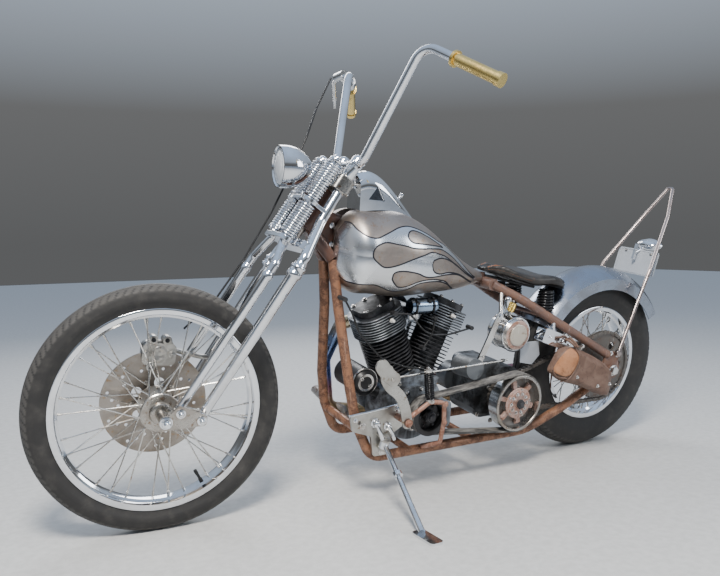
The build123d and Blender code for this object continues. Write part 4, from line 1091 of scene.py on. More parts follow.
# Tool bag: a leather roll with an open flap at its front end, hung by a strap
bag_outline = [
    (262, 446), (300, 436), (338, 374), (322, 352), (286, 326), (200, 296), (110, 262), (62, 252), (46, 262),
    (42, 318), (52, 346), (104, 386), (180, 420), (236, 444),
]
bag_x, bag_z = 190, 350
bag_levels = [
    # y, size against the outline
    (141, 0.90), (143, 0.965), (150, 1.0), (163, 1.005), (176, 1.0), (183, 0.965), (186.5, 0.90), (188, 0.70),
]
bag_line = flowing(bag_outline, 6, closed=True)
bag = Shape().rings([
    [Vector((bag_x + (x - bag_x) * size, y, bag_z + (z - bag_z) * size)) for x, z in bag_line]
    for y, size in bag_levels
])
bag_piece = show("bag_body", bag, "bag_leather", smooth=60, replaces=["tool_bag"])
swelled(bag_piece, 3.0, 0.005)

bag_skin = bag_piece.data
bag_tree = BVHTree.FromPolygons(
    [vertex.co for vertex in bag_skin.vertices], [tuple(face.vertices) for face in bag_skin.polygons],
)
bag_least_y, beside_bag_y = 180, 260


def on_bag(x, z, rise=0.0):
    """Point on the bag's outer face, or above it by the rise."""
    start = bike @ Vector((x, beside_bag_y, z))
    heading = (bike @ Vector((x, 0, z)) - start).normalized()
    hit = bag_tree.ray_cast(start, heading)[0]
    y = (from_bike @ hit).y if hit else bag_least_y
    return Vector((x, max(y, bag_least_y) + rise, z))


def over_bag(points, rise):
    """Smooth line over the bag's face."""
    return [on_bag(x, z, rise) for x, z in flowing(points, 5)]


# The flap is a piece of leather on the bag's face, its middle a little proud
flap_outline = [(266, 446), (302, 428), (338, 384), (322, 362), (284, 352), (256, 372), (240, 414)]
flap_levels = ((0.97, 0.3), (1.0, 0.8), (1.0, 2.5), (0.97, 3.0), (0.75, 4.0), (0.4, 4.0))
flap_line = flowing(flap_outline, 4, closed=True)
flap_x, flap_z = (sum(values) / len(flap_line) for values in zip(*flap_line))
flap = Shape().rings([
    [on_bag(flap_x + (x - flap_x) * size, flap_z + (z - flap_z) * size, rise) for x, z in flap_line]
    for size, rise in flap_levels
])
show("bag_flap", flap, "flap_leather", smooth=50)
edging = Shape()
edging.along(over_bag([(250, 448), (238, 414), (246, 380), (274, 344), (300, 330)], 2.5), 2.4, 8)
edging.along(over_bag([(344, 380), (326, 354), (286, 344)], 2.5), 3.0, 8)
edging.pipe([(252, 187, 452), (262, 176, 464), (262, 150, 470), (250, 134, 452)], [8, 12], 4.5, 10)
edging.pipe([(240, 187, 448), (246, 178, 462), (248, 152, 474), (240, 134, 458)], [8, 12], 4.5, 10)
show("bag_edging", edging, "bag_leather", smooth=50)
bag_studs = Shape()
for x, z in ((130, 300), (66, 300), (236, 344)):
    bag_studs.acorn(on_bag(x, z), 4.6)
show("bag_studs", bag_studs, "old_chrome")

# Tail lamp: chromed oval shell with a red lens, and a blank plate on its bracket


def ovals(*rows):
    """Upright oval rings square to the bike, with slightly pointed ends, from x, width and height."""
    lamp_z = 770
    return [
        [Vector((x, wide * math.cos(turn), lamp_z + tall * math.sin(turn) * abs(math.sin(turn)) ** 0.25))
         for turn in turns(48)]
        for x, wide, tall in rows
    ]


plate_normal = Vector((-0.97, 0, -0.24))
lamp_shell = Shape().rings(ovals(
    (-254, 8, 5), (-256, 22, 11), (-262, 36, 16), (-270, 45, 19), (-282, 50, 21.5),
    (-294, 51, 22), (-297, 52.5, 23), (-300, 52.5, 23), (-300, 48, 19),
))
lamp_shell.rod((-276, 0, 764), (-216, 0, 742), 6, steps=20)
lamp_shell.box((-214, 0, 744), (8, 60, 14), left_axis, plate_normal)
show("lamp_shell", lamp_shell, "chrome", smooth=50, replaces=["tail_light"])
lamp_lens = Shape().rings(ovals((-299, 49, 19.5), (-305, 47, 18), (-310, 38, 14), (-312, 20, 8)))
show("lamp_lens", lamp_lens, "lamp_red", smooth=60)

plate_normal.normalize()
plate_right = Vector(left_axis)
plate_down = plate_normal.cross(plate_right)
plate_middle = Vector((-224, 0, 705))
plate_outline = soft_box(188, 98, 12)
plate = Shape().slab(plate_outline, plate_middle, 2, plate_right, plate_normal)
bead = [plate_middle + plate_right * (a * 0.94) + plate_down * (b * 0.90) for a, b in plate_outline]
for rise in (-0.2, 2.2):
    loop = [point + plate_normal * rise for point in bead]
    plate.along(loop + loop[:2], 1.6, 8)
show("blank_plate", plate, "plate_paint", smooth=40)
plate_bolts = Shape()
for a in (-58, 58):
    for facing, rise in ((1, 2.2), (-1, -0.2)):
        spot = plate_middle + plate_right * a - plate_down * 38 + plate_normal * rise
        plate_bolts.bolt(spot, 4.5, 3.5, plate_normal * facing)
show("plate_bolts", plate_bolts, "old_chrome")

# Drive side: chain links, clutch, pulley, pedal and its spring
chain_y = 85
chain_pitch = 15.875
clutch_x, clutch_z = 462, 267
crank_x, crank_z = 822, 268
crank = Vector((crank_x, 0, crank_z))


def loop_points(rear, rear_reach, front, front_reach, spacing):
    """Places in x and z, evenly apart, along a loop round two wheels."""
    run = math.hypot(front[0] - rear[0], front[1] - rear[1])
    tilt = math.atan2(front[1] - rear[1], front[0] - rear[0])
    lead = math.acos((rear_reach - front_reach) / run)
    straight = math.sqrt(run ** 2 - (rear_reach - front_reach) ** 2)
    front_arc = 2 * lead * front_reach
    whole = 2 * straight + front_arc + (math.tau - 2 * lead) * rear_reach
    count = round(whole / spacing / 2) * 2
    spots = []
    for index in range(count):
        s = whole * index / count
        on_rear = s < straight or s >= 2 * straight + front_arc
        centre, reach = (rear, rear_reach) if on_rear else (front, front_reach)
        ahead = 0.0
        if s < straight:
            turn = tilt + lead
            ahead = s
        elif s < straight + front_arc:
            turn = tilt + lead - (s - straight) / front_reach
        elif s < 2 * straight + front_arc:
            turn = tilt - lead
            ahead = s - (straight + front_arc)
        else:
            turn = tilt - lead - (s - 2 * straight - front_arc) / rear_reach
        heading = turn - math.pi / 2
        spots.append((
            centre[0] + reach * math.cos(turn) + ahead * math.cos(heading),
            centre[1] + reach * math.sin(turn) + ahead * math.sin(heading),
        ))
    return spots


def link_outline(length, tall, waist, steps=6):
    """Figure-eight outline of a chain plate."""
    line = []
    for centre, first in ((length / 2, -math.pi / 2), (-length / 2, math.pi / 2)):
        for step in range(steps + 1):
            turn = first + math.pi * step / steps
            line.append((centre + tall / 2 * math.cos(turn), tall / 2 * math.sin(turn)))
        line.append((0.0, waist / 2 if first < 0 else -waist / 2))
    return line


chain = Shape()
rear_reach, front_reach = 128.9, 60.8
near_sprocket = 136
pin_half, pin_radius, roller_radius, plate_thick = 9, 1.5, 4.9, 1.6
chain_spots = loop_points((0, rear_radius), rear_reach, (clutch_x, clutch_z), front_reach, chain_pitch)
link = link_outline(chain_pitch, 13.2, 9.5)
for index, (x, z) in enumerate(chain_spots):
    next_x, next_z = chain_spots[(index + 1) % len(chain_spots)]
    along = Vector((next_x - x, 0, next_z - z)).normalized()
    spread = 7.4 if index % 2 else 5.6
    for side in (1, -1):
        start = Vector(((x + next_x) / 2, chain_y + side * spread - plate_thick / 2, (z + next_z) / 2))
        chain.slab(link, start, plate_thick, along, left_axis)
    # On the rear sprocket each roller is parted, so that the teeth pass at any turn of the wheel
    parting = 3.3 if math.hypot(x, z - rear_radius) < near_sprocket else 0.0
    chain.pin(x, z, chain_y - pin_half, chain_y + pin_half, pin_radius, steps=8)
    for side in (1, -1):
        chain.pin(x, z, chain_y + side * parting, chain_y + side * 4.7, roller_radius, steps=12)
        chain.pin(x, z, chain_y + side * 7, chain_y + side * 9.2, 2.5, steps=8)
show("chain_links", chain, "chain_metal", smooth=30, replaces=["drive_chain"])


def ring_about(x, z, profile):
    """Ring about a line across the bike; the profile is pairs of y and radius round its section."""
    return Shape().turned((x, 0, z), profile, 72, joined=True)


clutch_floor = ring_about(clutch_x, clutch_z, [(136.2, 53), (137.2, 53), (137.2, 87.8), (136.2, 87.8)])
show("clutch_floor", clutch_floor, "aged_dark")
clutch_rim = ring_about(
    clutch_x, clutch_z, [(165.5, 87.6), (166.8, 88.4), (166.8, 94.6), (165.5, 96.2), (162, 96.2), (162, 95)],
)
show("clutch_rim", clutch_rim, "old_steel", smooth=50)
clutch_hub = Shape().turned((clutch_x, 157, clutch_z), [
    (0, 53), (3, 53), (4, 51), (4, 44), (6, 42), (6, 24), (4, 21), (4, 17),
], 60)
for turn in turns(6, 0.3):
    out = Vector((math.cos(turn), 0, math.sin(turn)))
    base = Vector((clutch_x, 0, clutch_z)) + out * 63
    clutch_hub.box(base + Vector((0, 146, 0)), (26, 15, 12), out, left_axis)
    clutch_hub.box(base + out * 11 + Vector((0, 142, 0)), (10, 20, 9), out, left_axis)
show("clutch_hub", clutch_hub, "rust_pink", bevel=1.0)
clutch_bolts = Shape().bolts(around(10, 33, clutch_x, clutch_z), 163, 4.2, 4)
clutch_bolts.bolts(around(5, 47, clutch_x, clutch_z, 0.5), 160.5, 2.8, 3)
show("clutch_bolts", clutch_bolts, "old_chrome")
centre_nuts = Shape().turned((clutch_x, 169.6, clutch_z), [(0, 17), (5, 17), (7, 15.5)], 6)
centre_nuts.pin(clutch_x, clutch_z, 169, 180, 8, edge=1)
centre_nuts.turned((crank_x, 148, crank_z), [(0, 19.5), (18, 19.5), (22, 17)], 6)
centre_nuts.pin(crank_x, crank_z, 165, 176, 9, edge=1)
show("centre_nuts", centre_nuts, "black_iron", bevel=0.8)
pulley_face = ring_about(crank_x, crank_z, [(148.2, 22), (149.4, 22), (149.4, 45.6), (148.2, 45.6)])
pulley_face.bolts(around(6, 34, crank_x, crank_z), 149.4, 5, 4)
show("pulley_face", pulley_face, "black_gloss")


def ribbon(shape, line, width, low, high):
    """Flat bar with its middle on a line of x and z, from one y to another, with round ends."""
    points = [Vector((x, z)) for x, z in line]
    last = len(points) - 1
    headings = [
        (points[min(index + 1, last)] - points[max(index - 1, 0)]).normalized() for index in range(last + 1)
    ]
    rows = [(point, heading, width / 2) for point, heading in zip(points, headings)]
    for turn in (1.3, 0.9, 0.5, 0.15):
        reach, half = width / 2 * math.cos(turn), width / 2 * math.sin(turn)
        rows.insert(0, (points[0] - headings[0] * reach, headings[0], half))
        rows.append((points[-1] + headings[-1] * reach, headings[-1], half))
    rings = []
    for point, heading, half in rows:
        side = Vector((-heading.y, heading.x)) * half
        a, b = point + side, point - side
        rings.append([Vector((p.x, y, p.y)) for p, y in ((a, low), (b, low), (b, high), (a, high))])
    shape.rings(rings)


pedal = Shape()
pedal_arm = [(1012, 448), (1018, 424), (1000, 396), (966, 366), (944, 322), (932, 276)]
ribbon(pedal, flowing(pedal_arm, 6), 34, 196, 202)
ribbon(pedal, flowing([(1034, 462), (1014, 438), (992, 420)], 4), 44, 197, 204)
show("pedal_plate", pedal, "worn_alloy", bevel=1.2, replaces=["clutch_pedal"])
rod_front, rod_rear = Vector((996, 189.5, 420)), Vector((500, 128, 412))
pedal_rods = Shape().rod(rod_front, rod_rear, 3.2, steps=16)
for part, reach in ((0.02, 12), (0.94, 14)):
    start = rod_front.lerp(rod_rear, part)
    pedal_rods.rod(start, start + (rod_rear - rod_front).normalized() * reach, 6, steps=6)
pedal_rods.pin(998, 420, 184, 208, 5, 20, 1)
show("pedal_rod", pedal_rods, "spoke_steel")
linkage = Shape().pin(931, 278, 142, 206, 10, 28, 1.2).bolt((931, 206, 278), 9, 6)
linkage.pipe([
    (931, 194, 286), (850, 192, 330), (802, 200, 326), (797, 200, 262), (802, 194, 192), (822, 138, 162),
    (822, 120, 154),
], [20, 16, 40, 20, 8], 7.2, steps=16)
linkage.bolt((802, 207, 322), 7, 5).bolt((799, 206, 262), 6, 4)
show("pedal_linkage", linkage, "arm_rust")
pedal_spring = Shape().coil((850, 190, 340), (863, 190, 428), 12.2, 2.4, 12.5, sides=10)
pedal_spring.rod((849, 190, 332), (863, 190, 434), 5, steps=16)
show("pedal_spring", pedal_spring, "black_gloss", smooth=60)
spring_ends = Shape().rod((848, 190, 330), (850, 190, 341), 13, edge=1)
spring_ends.rod((862.6, 190, 427), (864, 190, 436), 13, edge=1)
spring_ends.bolt((864, 190, 436), 6, 5, (0.15, 0, 1)).bolt((849, 203, 335), 5, 4)
show("spring_ends", spring_ends, "old_chrome")

# Oil tank's rings, the box's studs, the small fittings and the shift knob
oil_x, oil_z = 463, 493
oil_ring = ring_about(oil_x, oil_z, [(125.6, 36.5), (127.0, 37.5), (127.2, 47.5), (125.6, 50.2)])
show("oil_rust_ring", oil_ring, "rust_pink", smooth=50)
oil_face = Shape().turned((oil_x, 130.6, oil_z), [(0, 36.4), (1.2, 35.6), (1.8, 33), (2.6, 20), (3.0, 2)], 56)
show("oil_face", oil_face, "pale_steel", smooth=50)
oil_bands = ring_about(oil_x, oil_z, [(50, 59.2), (50, 61), (54, 61.4), (64, 61.4), (68, 61), (68, 59.2)])
oil_bands.merged(ring_about(oil_x, oil_z, [(112, 59.2), (113, 60.6), (117, 60.6), (119, 58.6), (118, 55)]))
show("oil_bands", oil_bands, "chrome", smooth=50)
small_fittings = Shape().acorn((272, 139, 462), 6).acorn((330, 139, 480), 3.5).acorn((236, 139, 446), 3.5)
small_fittings.rod((522, 100, 560), (500, 96, 580), 4, steps=14)
small_fittings.turned(
    (500, 96, 580), [(0, 6), (2, 9), (22, 10), (26, 12), (34, 12), (39, 9), (41, 4)], 28, (-0.35, -0.1, 1),
)
small_fittings.bolts([(526, 556), (598, 400)], 103, 7, 5)
show("small_fittings", small_fittings, "chrome", smooth=40)
knob_profile = [(0, 7)]
for index in range(9):
    slim = abs(index - 4) * 0.5
    knob_profile += [(2 + index * 3.4, 13.5 - slim), (4.2 + index * 3.4, 12.2 - slim)]
knob = Shape().turned((488, 104, 570), knob_profile + [(33.5, 6)], 28, (-0.35, 0.15, 1))
show("shift_knob", knob, "brass", smooth=40)

# Engine details: head bolts, plugs, push rod tubes, intake clamps and case bolts
cylinder_tilts = (22.5, -22.5)


def cylinder_axes(tilt):
    """Up and across of a cylinder that leans by so many degrees."""
    turn = math.radians(tilt)
    return Vector((math.sin(turn), 0, math.cos(turn))), Vector((math.cos(turn), 0, -math.sin(turn)))


head_bolt_level, foot_bolt_level, plug_level = 362, 124, 318
tube_foot_level, tube_head_level = 100, 330
engine_bolts = Shape()
plug_bodies = Shape()
rod_tubes = Shape()
for tilt in cylinder_tilts:
    up, across = cylinder_axes(tilt)
    for level, radius, height, spots in (
        (head_bolt_level, 5.5, 4.5, ((46, 40), (-46, 40), (46, -40), (-46, -40), (0, 46), (0, -46))),
        (foot_bolt_level, 6, 6, ((-30, 57), (-30, -57), (30, 57), (30, -57))),
    ):
        for a, y in spots:
            engine_bolts.bolt(crank + up * level + across * a + Vector((0, y, 0)), radius, height, up)
    plug = crank + up * plug_level + across * (-8 if tilt > 0 else 8)
    engine_bolts.turned(plug + Vector((0, 76, 0)), [(0, 9), (7, 9), (8, 8)], 6)
    plug_bodies.rod(plug + Vector((0, 83, 0)), plug + Vector((0, 96, 0)), 5.2, 4.2, 20)
    for a in (-16, 16):
        foot = crank + up * tube_foot_level + across * (a * 1.1)
        head = crank + up * tube_head_level + across * (a * 1.9)
        foot.y, head.y = -88, -92
        rod_tubes.rod(foot, foot.lerp(head, 0.45), 9.5, steps=20, edge=1)
        rod_tubes.rod(foot.lerp(head, 0.42), head, 7, steps=20)
        rod_tubes.rod(foot.lerp(head, 0.43), foot.lerp(head, 0.47), 12, steps=20, edge=1.5)
        rod_tubes.rod(foot - up * 16, foot + up * 10, 14, steps=20, edge=1.5)
show("engine_bolts", engine_bolts, "old_chrome")
show("plug_bodies", plug_bodies, "plug_white")
show("push_rod_tubes", rod_tubes, "chrome", smooth=40)
intake = Shape()
for x in (784, 860):
    band = [(0, 21.2), (0, 23), (4, 24), (8, 24), (12, 23), (12, 21.2)]
    intake.turned((x - 6, 0, 566), band, 36, ahead_axis, joined=True)
intake.box((822, 20, 592), (30, 26, 12))
intake.box((822, 30, 566), (34, 34, 10), normal=left_axis)
intake.pin(822, 566, 30, 38, 15, 28, 1.5)
show("intake_details", intake, "polished", bevel=1.0)
case_bolts = Shape().bolts(around(8, 66, crank_x, crank_z, 0.2), 84, 5, 5)
case_bolts.bolts(((730, 214), (726, 252), (900, 190), (760, 170), (880, 350)), 62, 6, 6)
case_bolts.bolts(((520, 300), (410, 330), (560, 210), (380, 240), (500, 180)), 70, 6, 6)
show("case_bolts", case_bolts, "old_chrome")
generator_x, generator_z = 1006, 370
generator_rings = ring_about(generator_x, generator_z, [(58, 42.2), (58, 43.4), (64, 43.4), (64, 42.2)])
generator_rings.merged(ring_about(generator_x, generator_z, [(69.6, 20), (71, 20), (71, 27.5), (69.6, 28)]))
for side in (-1, 1):
    generator_rings.bolt((generator_x + side * 14.4, 70.2, generator_z + side * 12), 4, 4)
show("generator_rings", generator_rings, "old_chrome")

# Fork, wheel and frame fastenings
rocker_face = 140
fork_nuts = Shape()
frame_nuts = Shape()
for side in (1, -1):
    out = (0, side, 0)
    face = side * rocker_face
    fork_nuts.acorn((40, face, 38), 9, out).acorn((-18, face, 48), 9, out)
    fork_nuts.pin(axle_lead, 0, face, face + side * 3, 17, 32, 0.8)
    fork_nuts.turned((axle_lead, face + side * 3, 0), [(0, 14), (7, 14), (9, 12.5)], 6, out)
    axle_end = [(0, 9.6), (9, 9.6), (10, 8), (14, 8), (16, 6)]
    fork_nuts.turned((axle_lead, face + side * 12, 0), axle_end, 28, out)
    for u in (784, 812):
        fork_nuts.bolt((-40, side * 50, u), 5, 5, (-1, 0, 0))
    for u in (596, 712):
        fork_nuts.bolt((66, side * 40, u), 5, 4, ahead_axis)
    frame_nuts.pin(0, rear_radius, side * 143.5, side * 146, 21, 32, 0.8)
    frame_nuts.turned((0, side * 146, rear_radius), [(0, 17), (9, 17), (11, 15)], 6, out)
    frame_nuts.bolt((-26, side * 132, 384), 7, 6, out).bolt((8, side * 132, 392), 6, 5, out)
fork_nuts.turned((0, 0, 820), [(0, 19), (9, 19), (11, 17)], 6, up_axis)
fork_nuts.turned((0, 0, 830), [(0, 13), (4, 12), (8, 8), (10, 3)], 28, up_axis)
frame_nuts.bolts(((1052, 262), (980, 172), (916, 280)), 142, 8, 6)
show("fork_fastenings", fork_nuts, "chrome", "fork")
caliper = Shape().turned((126, -48, 122), [(0, 24), (4, 24), (6, 21), (6, 14), (4.5, 12)], 40)
for x, z in ((96, 138), (156, 106)):
    caliper.pin(x, z, -48, -42, 11, 28, 1).bolt((x, -42, z), 6, 5)
# Dark discs on the lugs' ends are painted shade standing for their holes
caliper_hole_shades = Shape()
for x, z in ((129, 166), (162, 148), (127, 81)):
    caliper.pin(x, z, -82, -45, 13, 32, 1.4)
    caliper_hole_shades.pin(x, z, -46, -44.6, 6.5, 24, 0.4)
show("caliper_details", caliper, "worn_alloy", "fork", smooth=45)
show("caliper_hole_shades", caliper_hole_shades, "black_iron", "fork")
disc_bolts = Shape().bolts(around(5, 60, first=math.radians(36)), -63, 5, 5)
show("disc_bolts", disc_bolts, "spoke_steel", "front_wheel")
hub_flange = Shape().turned(
    (0, 0, 0), [(46, 53.5), (50, 53.5), (52, 51), (52, 30), (60, 28), (62, 25), (62, 16)], 60,
)
show("front_hub_flange", hub_flange, "old_steel", "front_wheel")
for end, (rim, _), angle in (("front", front_rim, 208), ("rear", rear_rim, 150)):
    turn = math.radians(angle)
    inward = Vector((math.cos(turn), 0, math.sin(turn)))
    valve = Shape()
    for start, stop, radius, edge in ((24, 34, 5.5, 0.6), (30, 52, 4, 0), (50, 64, 5, 0.8)):
        valve.rod(inward * (rim - start), inward * (rim - stop), radius, steps=16, edge=edge)
    show(end + "_valve", valve, "tyre_rubber", end + "_wheel")
sprocket_bolts = Shape().bolts(around(6, 48, first=math.radians(30)), 88, 6, 5)
show("sprocket_bolts", sprocket_bolts, "old_chrome", "rear_wheel")
show("frame_nuts", frame_nuts, "old_chrome")
neck_parts = Shape().bolt((1118, 16, 790), 8, 6).bolt((1122, 16, 846), 6, 5)
neck_parts.rod((906, 14, 918), (892, 18, 936), 4, steps=16, edge=0.6)
neck_parts.rod((893, 17.6, 934), (888, 19, 944), 6, steps=20, edge=1)
show("neck_parts", neck_parts, "chrome")

# Fork tubes, trees, bars and rear bar, as smooth tubes over the CAD's
leg_y, leg_n, spring_leg_y, spring_leg_n, column_y, column_n = 118, -18, 108, 40, 56, 40
fork_tubes = Shape()
spring_tubes = Shape()
for side in (1, -1):
    fork_tubes.turned((leg_n, side * leg_y, 48), [
        (0, 11), (3, 13.4), (446, 17.8), (449, 20.5), (452, 22), (459, 22), (462, 20.2), (471, 20.2),
        (474, 22), (480, 22), (483, 19), (490, 16.5), (496, 15),
    ], 48, up_axis)
    leg_line = [(leg_y, 520), (leg_y, 556), (62, 676), (50, 790)]
    fork_tubes.pipe([(leg_n, side * y, u) for y, u in leg_line], [40, 60], 15, steps=40)
    fork_tubes.rod((leg_n, side * 104, 48), (leg_n, side * 134, 48), 18, steps=40, edge=2)
    spring_tubes.turned((spring_leg_n, side * spring_leg_y, 38), [
        (0, 8), (3, 10.4), (414, 13.6), (417, 15.4), (428, 15.4), (431, 13.6), (436, 12.5),
    ], 40, up_axis)
    spring_line = [(spring_leg_y, 460), (spring_leg_y, 500), (column_y, 572), (column_y, 590)]
    spring_tubes.pipe([(column_n, side * y, u) for y, u in spring_line], [26, 8], 12, steps=32)
    spring_tubes.rod((column_n, side * column_y, 570), (column_n, side * column_y, 842), 8, steps=28)
    spring_tubes.turned((column_n, side * column_y, 835), [
        (0, 18.5), (1.5, 20), (9, 20), (10.5, 18.5), (11, 12), (20, 12), (23, 9), (25, 4),
    ], 36, up_axis)
    spring_tubes.rod((spring_leg_n, side * 96, 38), (spring_leg_n, side * 134, 38), 14, steps=36, edge=1.6)


def slot_outline(length, width, centre, steps=12):
    """Outline of a round-ended plate that runs across the fork."""
    line = []
    for end, first in ((1, 0.0), (-1, math.pi)):
        for step in range(steps + 1):
            turn = first + math.pi * step / steps
            reach = (length - width) / 2 * end
            line.append((centre + width / 2 * math.cos(turn), reach + width / 2 * math.sin(turn)))
    return line


fork_trees = Shape().slab(slot_outline(226, 44, leg_n + 4), (0, 0, 574), 26)
fork_trees.slab([(a + column_n, b) for a, b in soft_box(40, 120, 8)], (6, 0, 697), 12)
for side in (1, -1):
    fork_trees.slab(around(36, 27, column_n, side * column_y), (0, 0, 696.5), 13)
    fork_trees.box((column_n / 2 - 8, side * 62, 703), (56, 20, 12))
show("fork_trees", fork_trees, "chrome", "fork", bevel=2.0)
top_tree = Shape().slab([(a - 15, b) for a, b in soft_box(56, 146, 14)], (0, 0, 775), 46)
top_tree.rod((0, 0, 590), (0, 0, 780), 12.5, steps=32)
show("top_tree", top_tree, "old_steel", "fork", bevel=2.4)
show("fork_tubes", fork_tubes, "chrome", "fork", smooth=50, replaces=["fork_legs"])
spring_bridge = Shape().slab(slot_outline(168, 46, column_n), (0, 0, 570), 14)
show("spring_bridge", spring_bridge, "chrome", "fork", bevel=1.8)
show("spring_tubes", spring_tubes, "chrome", "fork", smooth=50, replaces=["spring_legs"])

bars = Shape()
bar_left = [(-16, 0, 868), (-16, 92, 868), (76, 245, 1184), (-68, 455, 1150)]
for side in (1, -1):
    bars.pipe([(n, side * y, u) for n, y, u in bar_left], [46, 52], 12.7, steps=36)
    bars.turned((-16, side * 52, 821), [
        (0, 17.5), (1.5, 19), (64, 19), (67, 18.2), (72, 15), (76, 9.5), (77, 5),
    ], 36, up_axis)
    bars.rod((-16, side * 38, 868), (-16, side * 66, 868), 17.5, steps=36, edge=1.6)
    for y in (44, 60):
        bars.bolt((3, side * y, 862), 4, 4, ahead_axis)
show("bars", bars, "chrome", "fork", smooth=50, replaces=["handlebar"])

sissy_left = [(-22, 139, 392), (-130, 116, 600), (-175, 108, 690), (-310, 52, 885), (-372, 10, 990)]
sissy_line = sissy_left + [(x, -y, z) for x, y, z in sissy_left[::-1]]
sissy = Shape().pipe(sissy_line, [120, 80, 120, 9, 9, 120, 80, 120], 6.6, steps=24)
for side in (1, -1):
    sissy.turned((-22, side * 133, 392), [(0, 12), (1, 13), (12, 13), (13, 12)], 28, (0, side, 0))
show("rear_bar", sissy, "bar_steel", smooth=60, replaces=["sissy_bar"])

# Cylinder heads' fins, and the can between the heads with its bands
fin_count, first_fin, fin_pitch, fin_thick = 9, 267.4, 8.6, 4.0
head_fins = Shape()
for tilt in cylinder_tilts:
    up, across = cylinder_axes(tilt)
    for index in range(fin_count):
        level = crank + up * (first_fin + index * fin_pitch)
        head_fins.slab(soft_box(162, 156, 61, 10), level, fin_thick, across, up)
show("head_fins", head_fins, "fin_grey", bevel=1.0)
can_y, can_z = 66, 600
can = Shape().turned((768, can_y, can_z), [
    (0, 16), (1, 23), (4, 25), (14, 25), (14.5, 26.5), (20, 26.5), (20.5, 25), (78, 25), (78.5, 26.5),
    (84, 26.5), (84.5, 25), (94, 24), (96, 22), (96, 12),
], 48, ahead_axis)
can.rod((818, 60, 596), (822, 0, 572), 15, steps=28)
show("breather_can", can, "blue_chrome", smooth=45)
can_bands = Shape()
for x in (783.5, 847.5):
    can_bands.turned((x, can_y, can_z), [(0, 26.6), (0, 28), (7, 28), (7, 26.6)], 48, ahead_axis, joined=True)
can_bands.box((802, 84, 617), (13, 10, 13)).box((846, 86, 613), (10, 9, 11))
show("can_bands", can_bands, "black_gloss", bevel=0.8)

# Bracket flange, stand fittings and the small plate under the oil tank
flange_top = [(1099, 141, 300), (1040, 145, 306), (985, 147, 313), (934, 146, 318)]
flange = Shape().pipe(flange_top, [80, 80], 4, 16)
flange.turned((1010, 142, 268), [(0, 15), (3, 15), (4, 11), (16, 11), (19, 9), (21, 4)], 28)
flange.turned((966, 142, 252), [(0, 13), (3, 13), (4, 9), (14, 9), (16, 7)], 28)
flange.rod((1012, 156, 272), (996, 170, 222), 6, steps=20, edge=1)
flange.rod((966, 152, 256), (948, 160, 212), 6, steps=20, edge=1)
flange.bolt((930, 142, 302), 7, 6).bolt((1078, 142, 284), 5, 5)
show("bracket_flange", flange, "chrome", smooth=45)
under_outline = [(366, 376), (334, 408), (345, 458), (402, 458), (424, 452), (420, 388)]
under_plate = Shape().slab(under_outline, (0, 101, 0), -3, normal=(0, -1, 0))
under_plate.pin(424, 452, 88, 106, 5, 20, 0.8)
show("under_plate", under_plate, "plate_paint", bevel=0.8)

# Dark sheets on the floors of the dash's recesses, painted shade, and the dash's gasket
recess_shades = Shape()
gasket = Shape()
vent_outline = [(990, 965), (1018.5, 925.6), (967, 922)]
dash_foot = [(1044, 887, 41), (990, 887, 48), (930, 881, 45), (872, 867, 35), (838, 857, 23)]
for side in (1, -1):
    outline = [(-side * a, b) for a, b in vent_outline]
    recess_shades.slab(outline, (0, side * 40.1, 0), 1.0, (-side, 0, 0), (0, side, 0))
    gasket.along(flowing([(x, side * half, z) for x, z, half in dash_foot], 6), 3.2, 12)
show("dash_recess_shade", recess_shades, "vent_grey")
show("dash_gasket", gasket, "tyre_rubber")

# Camera: solved from both wheels' outlines in the photograph
camera_place = (1.3113, 1.8503, 0.7903)
camera_yaw = math.radians(-119.6)
camera_pitch = math.radians(-3.7)
camera_roll = math.radians(-0.7)
lens_to_width = 723.6 / 720
sensor = 36.0


def placed(name, data, spot):
    """Add a camera, lamp or mesh to the scene at a spot."""
    made = bpy.data.objects.new(name, data)
    bpy.context.scene.collection.objects.link(made)
    made.location = spot
    made.rotation_mode = "QUATERNION"
    return made


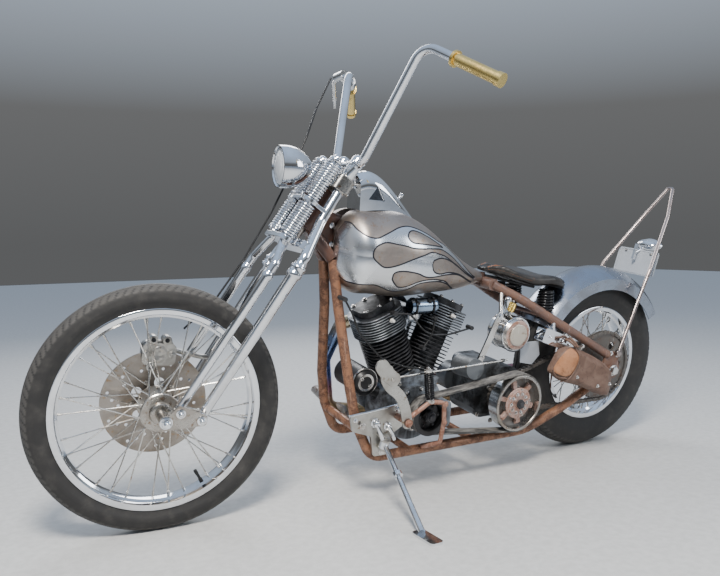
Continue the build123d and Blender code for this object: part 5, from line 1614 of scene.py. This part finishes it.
camera_data = bpy.data.cameras.new("camera")
camera_data.sensor_width = sensor
camera_data.lens = sensor * lens_to_width
camera = placed("camera", camera_data, camera_place)
flat = math.cos(camera_pitch)
sight = Vector((flat * math.cos(camera_yaw), flat * math.sin(camera_yaw), math.sin(camera_pitch)))
level = sight.to_track_quat("-Z", "Y")
camera.rotation_quaternion = Matrix.Rotation(-camera_roll, 3, sight).to_quaternion() @ level
bpy.context.scene.camera = camera

# Pale floor and soft light
floor_half = 14.0
corners = [(a * floor_half, b * floor_half, 0) for a, b in ((-1, -1), (1, -1), (1, 1), (-1, 1))]
floor_mesh = bpy.data.meshes.new("floor")
floor_mesh.from_pydata(corners, [], [(0, 1, 2, 3)])
floor = placed("floor", floor_mesh, (0, 0, 0))
floor_paint = Paint("floor_paint")
floor_cloud = floor_paint.noise(40, 8)
floor_paint.colour(floor_paint.span(floor_cloud, 0.3, 0.7, (0.47, 0.47, 0.46), (0.54, 0.54, 0.53)))
floor_paint.rough(0.8)
floor_mesh.materials.append(floor_paint.material)

world = bpy.data.worlds.new("studio")
bpy.context.scene.world = world
world.use_nodes = True
sky = Graph(world.node_tree, "Generated")
background = sky.nodes["Background"]
sky_stops = [
    (0.0, (0.20, 0.205, 0.21)), (0.17, (0.26, 0.265, 0.27)),
    (0.33, (0.72, 0.83, 0.98)), (1.0, (0.98, 1.24, 1.68)),
]
sky.feed(background.inputs["Color"], sky.ramp(sky.height(), sky_stops, smooth=False))
background.inputs["Strength"].default_value = 0.55

# Soft boxes: name, place, aim, size, watts, warmth
for name, spot, aim, size, watts, tint in (
    ("key", (1.5, 1.9, 3.3), (0.0, 0.0, 0.5), 0.9, 250, (1.0, 0.95, 0.88)),
    ("side", (-2.6, 2.4, 1.8), (-0.2, 0.0, 0.5), 1.6, 45, (0.92, 0.96, 1.0)),
    ("back", (-0.6, -3.0, 2.6), (0.0, 0.0, 0.6), 2.0, 70, (1.0, 1.0, 1.0)),
):
    data = bpy.data.lights.new(name, "AREA")
    data.size = size
    data.energy = watts
    data.color = tint
    lamp = placed(name, data, spot)
    lamp.rotation_quaternion = (Vector(aim) - Vector(spot)).to_track_quat("-Z", "Y")
